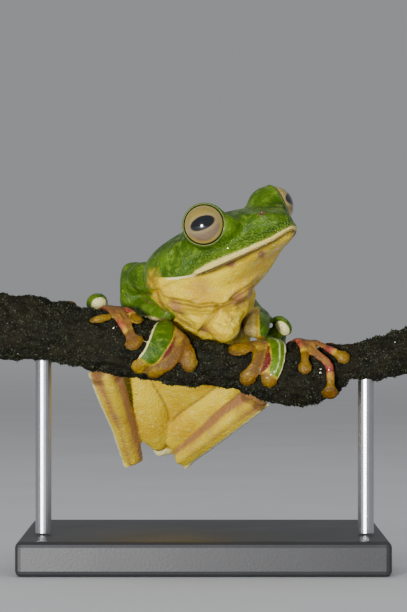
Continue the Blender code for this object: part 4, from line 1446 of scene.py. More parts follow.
@dataclass
class Skin:
    """The frog's one skin, grown over all its masses, sculpted and coloured."""

    body: Body = field(default_factory=Body)
    limbs: Limbs = field(default_factory=Limbs)
    voxel: float = 0.335
    body_rounds: int = 11
    body_reach: float = 4.0
    soft_blend: float = 0.6
    owner_blend: float = 0.25
    crease_width: float = 0.4
    crease_depth: float = 0.3
    disc_groove: float = 0.13
    swell: float = 0.12
    swell_size: float = 4.5
    grain: float = 0.05
    grain_size: float = 0.75
    loreal_hollow: float = 0.3
    lip_bead: float = 0.12
    # How strongly these masses keep their own colour where others touch them
    claims: dict[str, float] = field(default_factory=lambda: {
        "arm_fringe": 8.0, "fringe_right": 3.0, "fringe_left": 3.0, "forearm_right": 6.0,
        "hand_right_four": 6.0, "hand_left_four": 3.0,
    })

    def __post_init__(self) -> None:
        """Lists the limbs' masses, and keeps a place for the search tree of the body's own."""
        self.parts = self.limbs.masses()
        self.tree: BVHTree | None = None

    @property
    def nodes(self) -> tuple[str, ...]:
        """The solids that the skin replaces."""
        limbs = ("upper_arm", "forearm", "hand", "thigh", "shank", "tarsus", "foot")
        return ("head", "torso", *(f"{limb}_{side.word}" for limb in limbs for side in Side))

    def build(self) -> bpy.types.Object:
        """The finished skin, without its material.

        Returns:
            The skin.
        """
        made = self.grow()
        LOG.info("skin grown: %d points", len(made.data.vertices))
        self.soften(made)
        self.sculpt(made)
        self.open_face(made)
        self.colour(made)
        made.data.shade_smooth()
        return made

    def grow(self) -> bpy.types.Object:
        """All masses remeshed into one closed surface.

        Returns:
            The skin.
        """
        bm = bmesh.new()
        for shape in self.body.masses():
            bm.from_mesh(new_mesh("mass", shape))
        self.tree = BVHTree.FromBMesh(bm)
        for part in self.parts:
            bm.from_mesh(new_mesh(part.name, part.shape()))
        mesh = bpy.data.meshes.new("frog_skin")
        bm.to_mesh(mesh)
        bm.free()
        made = new_object("frog_skin", mesh)
        step = made.modifiers.new("grow", "REMESH")
        step.mode = "VOXEL"
        step.voxel_size = self.voxel * MM
        step.use_smooth_shade = True
        settle(made)
        self.keep_outside(made)
        return made

    @staticmethod
    def keep_outside(made: bpy.types.Object) -> None:
        """Only the largest closed surface of the object stays.

        Args:
            made: The object.
        """
        count = len(made.data.vertices)
        edges = edges_of(made.data)
        label = np.arange(count)
        while True:
            low = np.minimum(label[edges[:, 0]], label[edges[:, 1]])
            new = label.copy()
            np.minimum.at(new, edges[:, 0], low)
            np.minimum.at(new, edges[:, 1], low)
            new = new[new]
            if np.array_equal(new, label):
                break
            label = new
        names, sizes = np.unique(label, return_counts=True)
        loose = np.flatnonzero(label != names[sizes.argmax()])
        if len(loose):
            bm = bmesh.new()
            bm.from_mesh(made.data)
            bm.verts.ensure_lookup_table()
            bmesh.ops.delete(bm, geom=[bm.verts[i] for i in loose], context="VERTS")
            bm.to_mesh(made.data)
            bm.free()

    def body_distance(self, points: Array) -> Array:
        """Distance of each point from the body's own masses."""
        found = (self.tree.find_nearest(Vector(p), self.body_reach * MM)[3] for p in world(points))
        return np.fromiter((FAR if d is None else d / MM for d in found), float, len(points))

    def readings(self, points: Array) -> tuple[Array, list[Reading]]:
        """Distances from the body and from each mass, and where each point lies on it.

        Args:
            points: Places on the skin.

        Returns:
            The distances and the readings.
        """
        read = [part.read(points) for part in self.parts]
        distances = np.stack([self.body_distance(points), *(r.distance for r in read)])
        return distances, read

    def soften(self, made: bpy.types.Object) -> None:
        """Smooths the body more than the limbs, and the digits least.

        Args:
            made: The skin.
        """
        points = points_of(made.data)
        distances, _ = self.readings(points)
        softness = np.array([1.0, *(part.soft for part in self.parts)])
        nearest = np.exp(-(distances - distances.min(0)) / self.soft_blend)
        weight = (nearest * softness[:, None]).sum(0) / nearest.sum(0)
        edges = edges_of(made.data)
        points = relax(points, edges, np.full(len(points), 0.5), 2)
        points = relax(points, edges, 0.6 * weight, self.body_rounds)
        move_points(made.data, points)

    def creases(self, distances: Array) -> Array:
        """How deep in a crease between two different parts each point lies.

        Args:
            distances: Distances of the points from the body and from each mass.

        Returns:
            1 in a crease, falling to 0.
        """
        groups = ["body", *(part.group for part in self.parts)]
        names = sorted(set(groups))
        nearest = np.stack([
            distances[[i for i, group in enumerate(groups) if group == name]].min(0) for name in names
        ])
        order = np.sort(nearest, axis=0)
        return bell(np.maximum(order[1], 0.0), self.crease_width)

    def sculpt(self, made: bpy.types.Object) -> None:
        """Folds, ridges, creases and granules, pushed in or out along the surface.

        Args:
            made: The skin.
        """
        mesh = made.data
        points, normals = points_of(mesh), normals_of(mesh)
        distances, read = self.readings(points)
        body = smoothstep(distances[1:].min(0), 0.1, 0.8)
        back, right, up = HEAD.measure(points)
        push, _ = self.body.folds(points, normals, body)
        push -= self.crease_depth * self.creases(distances)
        for part, reading in zip(self.parts, read):
            if part.name.endswith("_disc"):
                rim = np.hypot(reading.across, 2.0 * reading.along - 1.0)
                pad = smoothstep(reading.over, 0.1, 0.5) * bell(reading.distance, 0.5)
                push -= self.disc_groove * bell(rim - DISC_RIM, 0.14) * pad
        push += self.swell * scatter(points, self.swell_size) * np.clip(body + 0.5, 0, 1)
        push += self.grain * scatter(points, self.grain_size)
        mouth_side = body * smoothstep(back, 17.0, 14.0)
        mouth = at_abscissa(HEAD_SECTIONS, back)[:, 2]
        bead = bell(up - mouth - 0.75, 0.4) * smoothstep(np.abs(right), 0.5, 2.0)
        push += mouth_side * self.lip_bead * bead
        loreal = bell(back - 6.2, 2.6) * bell(up - mouth - 3.1, 1.3) * smoothstep(np.abs(right), 2.5, 4.0)
        push -= self.loreal_hollow * body * loreal
        points = points + normals * push[:, None]
        move_points(mesh, relax(points, edges_of(mesh), np.full(len(points), 0.18), 1))

    def open_face(self, made: bpy.types.Object) -> None:
        """Raises the lids and cuts the eye openings, the nostrils and the line of the mouth.

        Args:
            made: The skin.
        """
        for eye in EYES:
            boolean(made, eye.lid(), "UNION")
            boolean(made, eye.socket(), "DIFFERENCE")
            boolean(made, eye.mouth_of_socket(), "DIFFERENCE")
            back, out, up = self.body.nostril
            pit = HEAD.place(back - 0.3, eye.side.value * (out + 0.3), up + 0.1)
            axes = HEAD.ball_axes()
            cutter = Ball("pit", "", tuple(pit), self.body.nostril_pit, plain(), axes, around=24)
            boolean(made, cutter.shape(), "DIFFERENCE")
        groove = self.body.loft.lip_sweep("mouth", -0.12, 0.0, 0.14, 0.75)
        boolean(made, groove.shape(), "DIFFERENCE")
        self.keep_outside(made)

    def colour(self, made: bpy.types.Object) -> None:
        """Keeps each tone's share, the painted shade of the creases and the place by the lip as attributes of
        the skin.

        Args:
            made: The skin.
        """
        mesh = made.data
        points, normals = points_of(mesh), normals_of(mesh)
        distances, read = self.readings(points)
        claims = np.array([1.0, *(self.claims.get(part.name, 1.0) for part in self.parts)])
        weights = np.exp(-(distances - distances.min(0)) / self.owner_blend) * claims[:, None]
        weights /= weights.sum(0)
        shares = {name: np.zeros(len(points)) for name in TONE_NAMES}
        tones = [self.body.tones(points), *(part.tone(r) for part, r in zip(self.parts, read))]
        for weight, tone in zip(weights, tones):
            for name, values in tone.items():
                shares[name] += weight * values
        armpit = self.body.armpit(points)
        shares["green"] *= 1.0 - 0.6 * armpit
        shares["gold"] += 0.6 * armpit
        for name, values in shares.items():
            set_field(mesh, name, np.clip(values, 0.0, 1.0))
        lip, near = self.body.by_the_mouth(points)
        set_field(mesh, "lip", lip)
        set_field(mesh, "mouth", near * smoothstep(weights[0], 0.4, 0.6))
        body = smoothstep(distances[1:].min(0), 0.1, 0.8)
        # Painted shade: the creases between parts, the folds and the crumpled skin's valleys
        _, crease = self.body.folds(points, normals, body)
        set_field(mesh, "crease", np.maximum(0.9 * self.creases(distances), crease))
        rim = np.zeros(len(points))
        for eye in EYES:
            offset = points - eye.centre
            height = offset @ eye.looks
            radius = np.linalg.norm(offset - height[:, None] * eye.looks, axis=1)
            here = smoothstep(height, eye.lid_top - 0.75, eye.lid_top - 0.45)
            rim = np.maximum(rim, here * smoothstep(radius, eye.lid_radius, eye.lid_radius - 0.18))
        set_field(mesh, "rim", rim)
        back, out, up = self.body.nostril
        away = [np.linalg.norm(points - HEAD.place(back, side.value * out, up), axis=1) for side in Side]
        set_field(mesh, "nostril", smoothstep(np.minimum(*away), 1.2, 0.5))


class Value:
    """A number or colour that flows out of a shader node, with Python's arithmetic for numbers."""

    def __init__(self, shader: "Shader", socket: bpy.types.NodeSocket) -> None:
        """Keeps the socket and the shader that it belongs to."""
        self.shader = shader
        self.socket = socket

    def math(self, operation: str, *others: "Value | float") -> "Value":
        """A Math node of this operation on the value."""
        inputs = {i: other for i, other in enumerate((self, *others))}
        return self.shader.add("ShaderNodeMath", {"operation": operation}, inputs)

    def __add__(self, other: "Value | float") -> "Value":
        """Sum."""
        return self.math("ADD", other)

    __radd__ = __add__

    def __sub__(self, other: "Value | float") -> "Value":
        """Difference."""
        return self.math("SUBTRACT", other)

    def __rsub__(self, other: float) -> "Value":
        """Difference from a number."""
        return self.shader.add("ShaderNodeMath", {"operation": "SUBTRACT"}, {0: other, 1: self})

    def __mul__(self, other: "Value | float") -> "Value":
        """Product."""
        return self.math("MULTIPLY", other)

    __rmul__ = __mul__

    def step(self, low: float, high: float) -> "Value":
        """A soft step from 0 at low to 1 at high."""
        inputs = {"Value": self, "From Min": low, "From Max": high, "To Min": 0.0, "To Max": 1.0}
        return self.shader.add("ShaderNodeMapRange", {"interpolation_type": "SMOOTHSTEP"}, inputs)


class Shader:
    """A material and the nodes that are added to it."""

    def __init__(self, name: str, **constants: float | Row) -> None:
        """Makes the material with a Principled BSDF.

        Args:
            name: The material's name.
            constants: Values of the BSDF's sockets, with spaces in their names written as underscores.
        """
        self.material = bpy.data.materials.new(name)
        self.material.use_nodes = True
        self.tree = self.material.node_tree
        self.surface = self.tree.nodes["Principled BSDF"]
        for key, value in constants.items():
            self.surface.inputs[key.replace("_", " ")].default_value = value
        self.place = self.add("ShaderNodeTexCoord", {}, {}, "Object")

    def add(self, kind: str, settings: dict, inputs: dict, output: int | str = 0) -> Value:
        """Adds a node.

        Args:
            kind: The node's type.
            settings: Its own settings, set first.
            inputs: Values or links of its sockets, by name or number.
            output: Which output to give back.

        Returns:
            The output as a value.
        """
        node = self.tree.nodes.new(kind)
        for key, value in settings.items():
            setattr(node, key, value)
        for key, value in inputs.items():
            if isinstance(value, Value):
                self.tree.links.new(value.socket, node.inputs[key])
            else:
                node.inputs[key].default_value = value
        return Value(self, node.outputs[output])

    def field(self, name: str) -> Value:
        """A number that the mesh carries."""
        return self.add("ShaderNodeAttribute", {"attribute_name": name}, {}, "Fac")

    def noise(self, size: float, detail: float = 3.0, rough: float = 0.5) -> Value:
        """Cloudy noise with features of this size in millimetres."""
        inputs = {"Vector": self.place, "Scale": 1.0 / (size * MM), "Detail": detail, "Roughness": rough}
        return self.add("ShaderNodeTexNoise", {}, inputs, "Fac")

    def cells(self, size: float, output: str = "Distance") -> Value:
        """Voronoi cells of this size in millimetres."""
        inputs = {"Vector": self.place, "Scale": 1.0 / (size * MM)}
        return self.add("ShaderNodeTexVoronoi", {}, inputs, output)

    def mix(self, share: Value | float, one: Value | Colour, two: Value | Colour) -> Value:
        """One colour passing into another by a share.

        Args:
            share: How much of the second colour.
            one: The first colour.
            two: The second colour.

        Returns:
            The mixed colour.
        """
        ends = [value if isinstance(value, Value) else (*value, 1.0) for value in (one, two)]
        return self.add("ShaderNodeMix", {"data_type": "RGBA", "clamp_factor": True},
                        {0: share, 6: ends[0], 7: ends[1]}, 2)

    def feed(self, name: str, value: Value) -> None:
        """Links a value to a socket of the BSDF."""
        self.tree.links.new(value.socket, self.surface.inputs[name])

    def bump(self, height: Value, depth: float, strength: float = 1.0) -> None:
        """Relief of this depth in millimetres."""
        inputs = {"Height": height, "Distance": depth * MM, "Strength": strength}
        self.feed("Normal", self.add("ShaderNodeBump", {}, inputs, "Normal"))


@dataclass(frozen=True)
class SkinFinish:
    """Moist frog skin: green above, cream below, gold digits and dark red webs, with painted shade in its
    creases and folds and a painted shadow along the mouth.
    """

    cream: Colour = (0.72, 0.52, 0.02)
    cream_warm: Colour = (0.60, 0.37, 0.012)
    cream_pale: Colour = (0.82, 0.67, 0.14)
    green: Colour = (0.085, 0.17, 0.0)
    green_deep: Colour = (0.03, 0.075, 0.0)
    green_light: Colour = (0.17, 0.27, 0.002)
    gold: Colour = (0.22, 0.13, 0.0)
    gold_deep: Colour = (0.14, 0.055, 0.0)
    flush: Colour = (0.32, 0.075, 0.04)
    flush_deep: Colour = (0.19, 0.022, 0.012)
    blush: Colour = (0.34, 0.16, 0.06)
    grey: Colour = (0.23, 0.22, 0.14)
    rind: Colour = (0.06, 0.03, 0.001)
    web: Colour = (0.12, 0.008, 0.006)
    pale: Colour = (0.78, 0.72, 0.32)
    lip: Colour = (0.66, 0.55, 0.15)
    rim: Colour = (0.16, 0.21, 0.05)
    pore: Colour = (0.10, 0.045, 0.02)
    # Painted shade for creases and folds
    crease: Colour = (0.11, 0.05, 0.012)
    # Painted shadow along the line of the mouth
    line: Colour = (0.04, 0.016, 0.006)
    speck: Colour = (0.05, 0.04, 0.004)

    def material(self) -> bpy.types.Material:
        """Builds the material.

        Returns:
            The material.
        """
        s = Shader("frog_skin", Coat_Roughness=0.07, Specular_IOR_Level=0.25,
                   Subsurface_Weight=0.12, Subsurface_Scale=0.0007, Subsurface_Radius=(1.0, 0.6, 0.3))
        clouds, mottle, fine = s.noise(5.5), s.noise(1.1, 4.0), s.noise(0.28, 2.0)
        cream = s.mix(clouds.step(0.35, 0.7), self.cream, self.cream_warm)
        cream = s.mix(mottle.step(0.5, 0.75) * 0.5, cream, self.cream_pale)
        grains = s.cells(0.42)
        cream = s.mix(grains.step(0.3, 0.05) * 0.35, cream, self.cream_pale)
        green = s.mix(clouds.step(0.3, 0.7), self.green_deep, self.green)
        green = s.mix(mottle.step(0.48, 0.72) * 0.55, green, self.green_light)
        green = s.mix(fine.step(0.55, 0.8) * 0.3, green, self.green_deep)
        spot_place, spot_pick = s.cells(1.5), s.cells(1.5, "Color")
        picked = s.add("ShaderNodeSeparateColor", {}, {"Color": spot_pick}, "Red")
        specks = spot_place.step(0.17, 0.09) * picked.step(0.6, 0.75)
        green = s.mix(specks * 0.85, green, self.speck)
        gold = s.mix(clouds.step(0.35, 0.65), self.gold, self.gold_deep)
        gold = s.mix(mottle.step(0.5, 0.75) * 0.3, gold, self.cream_warm)
        flush = s.mix(mottle.step(0.35, 0.65), self.flush, self.flush_deep)
        web = s.mix(grains.step(0.35, 0.1) * 0.6, self.web, self.flush)
        ragged = (mottle - 0.5) * 0.5
        colour = s.mix((s.field("gold") + ragged).step(0.3, 0.7), cream, gold)
        colour = s.mix((s.field("flush") + ragged * 0.6).step(0.15, 0.9), colour, flush)
        drift = (clouds - 0.5) * 0.9 + ragged
        colour = s.mix((s.field("blush") + drift * 0.6).step(0.1, 0.95), colour, self.blush)
        colour = s.mix((s.field("grey") + drift * 0.5).step(0.1, 1.0) * 0.8, colour, self.grey)
        colour = s.mix((s.field("green") + ragged * 0.9).step(0.3, 0.72), colour, green)
        colour = s.mix((s.field("web") + ragged * 0.4).step(0.4, 0.65), colour, web)
        lip, near = s.field("lip"), s.field("mouth")
        above = lip.step(-0.35, -0.05) * near
        colour = s.mix(lip.step(3.6, 0.9) * above * 0.5, colour, self.green_light)
        colour = s.mix((lip + ragged * 0.9).step(1.45, 0.7) * above, colour, self.lip)
        colour = s.mix((s.field("pale") + ragged * 0.3).step(0.2, 0.7), colour, self.pale)
        colour = s.mix(s.field("rind").step(0.1, 1.0) * 0.75, colour, self.rind)
        colour = s.mix(s.field("rim") * 0.8, colour, self.rim)
        colour = s.mix(s.field("nostril") * 0.8, colour, self.pore)
        colour = s.mix(spot_place.step(0.13, 0.08) * picked.step(0.86, 0.9) * 0.8, colour, self.speck)
        # Painted shade darkens the creases and folds
        painted_crease_shade = s.field("crease") * (mottle * 0.5 + 0.6)
        colour = s.mix(painted_crease_shade.step(0.15, 1.0) * 0.8, colour, self.crease)
        # Painted shadow in the groove of the mouth and under the upper lip
        mouth_shadow = lip.step(0.2, 0.04) * lip.step(-1.1, -0.3) * near
        colour = s.mix(mouth_shadow * 0.85, colour, self.line)
        s.feed("Base Color", colour)
        s.feed("Roughness", mottle * 0.25 + 0.36 + s.field("crease") * 0.2)
        wet = lip.step(0.9, 1.3) * lip.step(4.2, 2.4) * near
        s.feed("Coat Weight", (mottle.step(0.45, 0.68) * 0.7 + wet * 0.6) * (1.0 - s.field("gold") * 0.5))
        relief = (1.0 - grains) * (wet * 3.0 + 0.8) + fine * 0.5 + mottle * 0.6
        s.bump(relief, 0.13, 1.0)
        return s.material


@dataclass(frozen=True)
class EyeFinish:
    """A wet eyeball: pale iris with a dark horizontal pupil, and a dark ring at its edge that is partly the
    limbus and partly painted shade of the gap under the lids.
    """

    iris: Colour = (0.28, 0.205, 0.03)
    iris_low: Colour = (0.17, 0.115, 0.065)
    iris_rim: Colour = (0.40, 0.29, 0.045)
    halo: Colour = (0.30, 0.24, 0.10)
    pupil: Colour = (0.003, 0.004, 0.006)
    # Dark ring at the eyeball's edge: partly the limbus, partly painted shade of the gap under the lids
    limbus: Colour = (0.02, 0.012, 0.006)
    vein: Colour = (0.12, 0.07, 0.035)

    def material(self) -> bpy.types.Material:
        """Builds the material.

        Returns:
            The material.
        """
        s = Shader("frog_eye", Roughness=0.12, Coat_Weight=1.0, Coat_Roughness=0.02, Specular_IOR_Level=0.5)
        radius, pupil, height = s.field("radius"), s.field("pupil"), s.field("height")
        streaks, clouds = s.noise(0.16, 3.0, 0.6), s.noise(1.3)
        base = s.mix((height + (clouds - 0.5) * 1.6).step(-0.9, 0.9), self.iris_low, self.iris)
        base = s.mix(streaks.step(0.5, 0.68) * 0.35, base, self.vein)
        base = s.mix((radius + (clouds - 0.5) * 0.2).step(2.7, 3.15) * 0.8, base, self.iris_rim)
        base = s.mix((pupil + (streaks - 0.5) * 0.25).step(1.75, 1.15) * 0.6, base, self.halo)
        edge = (pupil + (streaks - 0.5) * 0.1).step(1.16, 1.0)
        base = s.mix(edge, base, self.vein)
        base = s.mix(pupil.step(1.06, 0.97), base, self.pupil)
        # Limbus and painted shade of the gap under the lids
        base = s.mix(radius.step(3.22, 3.32), base, self.limbus)
        s.feed("Base Color", base)
        s.bump(streaks, 0.01, 0.15)
        return s.material


@dataclass(frozen=True)
class BarkFinish:
    """Wet dark bark."""

    dark: Colour = (0.004, 0.004, 0.002)
    brown: Colour = (0.013, 0.01, 0.004)
    olive: Colour = (0.014, 0.015, 0.006)
    fleck: Colour = (0.06, 0.065, 0.04)
    wood: Colour = (0.36, 0.24, 0.12)
    ring: Colour = (0.20, 0.12, 0.055)

    def material(self) -> bpy.types.Material:
        """Builds the material.

        Returns:
            The material.
        """
        s = Shader("wet_bark", Specular_IOR_Level=0.15)
        clouds, mottle, fine = s.noise(3.0, 5.0, 0.6), s.noise(0.8, 4.0, 0.6), s.noise(0.2, 3.0)
        colour = s.mix(clouds.step(0.35, 0.65), self.dark, self.brown)
        colour = s.mix(mottle.step(0.45, 0.65) * 0.8, colour, self.olive)
        colour = s.mix(fine.step(0.62, 0.72) * 0.5, colour, self.fleck)
        rings = s.field("rings") + (mottle - 0.5) * 0.25
        cut = s.mix(rings.math("SINE").step(-0.4, 0.9), self.wood, self.ring)
        colour = s.mix(s.field("cut"), colour, cut)
        s.feed("Base Color", colour)
        s.feed("Roughness", 0.85 - mottle * 0.35)
        s.bump(mottle + fine * 0.6, 0.25, 0.9)
        return s.material


@dataclass(frozen=True)
class MossFinish:
    """Short moss leaflets and wet granules."""

    name: str
    dark: Colour
    light: Colour
    rough: float

    def material(self) -> bpy.types.Material:
        """Builds the material.

        Returns:
            The material.
        """
        s = Shader(self.name, Coat_Weight=0.2, Coat_Roughness=0.12, Specular_IOR_Level=0.3)
        tint = s.noise(0.7, 2.0)
        s.feed("Base Color", s.mix(tint.step(0.35, 0.65), self.dark, self.light))
        s.feed("Roughness", tint * 0.3 + self.rough)
        return s.material


@dataclass(frozen=True)
class StandFinish:
    """Satin black paint with a fine orange-peel surface and a little dust."""

    paint: Colour = (0.022, 0.022, 0.024)
    dust: Colour = (0.10, 0.10, 0.10)

    def material(self) -> bpy.types.Material:
        """Builds the material.

        Returns:
            The material.
        """
        s = Shader("satin_black_paint", Specular_IOR_Level=0.5)
        peel, clouds, specks = s.noise(0.5, 2.0), s.noise(14.0, 4.0), s.cells(2.6)
        colour = s.mix(clouds.step(0.5, 0.8) * 0.12, self.paint, self.dust)
        colour = s.mix(specks.step(0.05, 0.02) * 0.6, colour, self.dust)
        s.feed("Base Color", colour)
        s.feed("Roughness", 0.36 + clouds * 0.14)
        s.bump(peel, 0.02, 0.5)
        return s.material


@dataclass(frozen=True)
class SteelFinish:
    """Brushed steel, brushed round the rod."""

    steel: Colour = (0.56, 0.56, 0.58)

    def material(self) -> bpy.types.Material:
        """Builds the material.

        Returns:
            The material.
        """
        s = Shader("brushed_steel", Metallic=1.0)
        lines = s.add("ShaderNodeMapping", {}, {"Vector": s.place, "Scale": (0.06, 0.06, 1.0)})
        brushed = s.add("ShaderNodeTexNoise", {}, {"Vector": lines, "Scale": 9000.0, "Detail": 2.0}, "Fac")
        clouds = s.noise(5.0)
        s.feed("Base Color", s.mix(clouds.step(0.4, 0.8) * 0.3, self.steel, (0.42, 0.42, 0.44)))
        s.feed("Roughness", brushed * 0.2 + 0.24)
        s.bump(brushed, 0.006, 0.5)
        return s.material


@dataclass
class Eyeball:
    """One eyeball, turned round the direction that it looks in, with a horizontal pupil."""

    eye: Eye
    around: int = 96
    gaze: float = 0.0
    pupil_tilt: float = 10.0
    pupil_half_length: float = 2.1
    pupil_half_height: float = 1.12

    def build(self) -> bpy.types.Object:
        """The finished eyeball, without its material.

        Returns:
            The eyeball.
        """
        centre, axes = self.eye.centre, self.eye.axes
        ball = Ball("eye", "", tuple(centre), (self.eye.radius,) * 3, plain(), axes, around=self.around)
        made = new_object("eyeball_" + self.eye.side.word, new_mesh("eyeball", ball.shape()))
        local = (points_of(made.data) - centre) @ axes.T
        tilt = math.radians(self.pupil_tilt)
        turned = math.radians(self.gaze)
        x, y = local[:, 0] * math.cos(turned) - local[:, 2] * math.sin(turned), local[:, 1]
        along, above = x * math.cos(tilt) + y * math.sin(tilt), y * math.cos(tilt) - x * math.sin(tilt)
        lens = np.abs(along / self.pupil_half_length) ** 2.0 + np.abs(above / self.pupil_half_height) ** 2.0
        front = local[:, 2] > 0
        set_field(made.data, "pupil", np.where(front, np.sqrt(lens), FAR))
        set_field(made.data, "radius", np.where(front, np.hypot(local[:, 0], local[:, 1]), 4.0))
        set_field(made.data, "height", local[:, 1])
        made.data.shade_smooth()
        return made


@dataclass
class Branch:
    """The cut length of branch, with knobbly bark."""

    length_step: float = 0.22
    sides: int = 132
    cap_rings: int = 8
    ends: tuple[float, float] = (-36.6, 37.36)
    clump: float = 2.2
    lump_size: float = 2.1
    ridge_size: float = 0.9
    grit_size: float = 0.4
    relief: tuple[float, float] = (-0.9, 0.45)

    def build(self) -> bpy.types.Object:
        """The finished branch, without its material.

        Returns:
            The branch.
        """
        rows = np.array(BRANCH)
        count = round((rows[-1, 0] - rows[0, 0]) / self.length_step)
        path = catmull(rows, np.linspace(0.0, len(rows) - 1, count + 1))
        turn = np.linspace(0.0, 2 * math.pi, self.sides, endpoint=False)
        axis = np.stack([path[:, 0], np.zeros(count + 1), path[:, 1]], axis=1)
        along = unit(np.gradient(axis, axis=0))
        top = unit(np.cross(along, np.array((0.0, 1.0, 0.0))) * -1.0)
        side = np.array((0.0, 1.0, 0.0))
        out = top[:, None, :] * np.cos(turn)[None, :, None] + side * np.sin(turn)[None, :, None]
        surface = axis[:, None, :] + out * path[:, 2][:, None, None]
        flat = surface.reshape(-1, 3)
        lumps = scatter(flat, self.lump_size)
        ridges = scatter(flat * (0.45, 1.0, 1.0), self.ridge_size)
        grit = scatter(flat, self.grit_size)
        push = np.clip(0.6 * lumps + 0.5 * ridges + 0.18 * grit - 0.02, *self.relief)
        flat = flat + out.reshape(-1, 3) * push[:, None]
        flat[:, 0] = np.clip(flat[:, 0], *self.ends)
        cap = np.abs(flat[:, 0]) >= np.abs(rows[-1, 0]) - 1e-6
        rings_of_cap = self.cap(flat, axis, count)
        points = np.concatenate([flat, *rings_of_cap])
        made = new_object("perch_branch", new_mesh("perch_branch", (points, self.faces(count))))
        self.mark(made, axis, cap)
        made.data.shade_smooth()
        made.data.set_sharp_from_angle(angle=math.radians(55))
        return made

    def cap(self, flat: Array, axis: Array, count: int) -> list[Array]:
        """Rings and middles that close the two cut ends with flat faces.

        Args:
            flat: Points of the bark.
            axis: Points of the branch's axis.
            count: Number of steps along the branch.

        Returns:
            Points of the rings and the middles.
        """
        made = []
        for i in (0, count):
            rim = flat[i * self.sides:(i + 1) * self.sides]
            rim = rim - (rim - axis[i]) @ np.array((1.0, 0.0, 0.0))[:, None] * np.array((1.0, 0.0, 0.0))
            for k in range(self.cap_rings, 0, -1):
                made.append(axis[i] + (rim - axis[i]) * (k - 0.15) / self.cap_rings)
            made.append(axis[i][None, :])
        return made

    def faces(self, count: int) -> list[tuple[int, ...]]:
        """Faces of the bark and of both cut ends.

        Args:
            count: Number of steps along the branch.

        Returns:
            The faces.
        """
        n = self.sides
        made = [face for i in range(count) for face in ring_faces(i * n, (i + 1) * n, n)]
        start = (count + 1) * n
        for rim in (0, count * n):
            rings = [rim] + [start + r * n for r in range(self.cap_rings)]
            for one, two in zip(rings, rings[1:]):
                made += ring_faces(one, two, n)
            middle = start + self.cap_rings * n
            made += [(rings[-1] + k, rings[-1] + (k + 1) % n, middle) for k in range(n)]
            start = middle + 1
        return made

    def mark(self, made: bpy.types.Object, axis: Array, cap: Array) -> None:
        """Marks the cut wood and its growth rings.

        Args:
            made: The branch.
            axis: Points of its axis.
            cap: One value for each point of the bark.
        """
        points = points_of(made.data)
        cut = np.zeros(len(points))
        cut[len(cap):] = 1.0
        centre = np.where(points[:, [0]] < 0, axis[0], axis[-1])
        rings = np.linalg.norm((points - centre)[:, 1:], axis=1) * 9.0
        set_field(made.data, "cut", cut)
        set_field(made.data, "rings", rings)
        clumps = smoothstep(scatter(points, self.clump), -0.3, 0.35)
        inner = smoothstep(np.abs(points[:, 0]), BRANCH[-1][0] - 0.8, BRANCH[-1][0] - 1.0)
        set_field(made.data, "growth", (1.0 - cut) * inner * (0.1 + 0.9 * clumps))


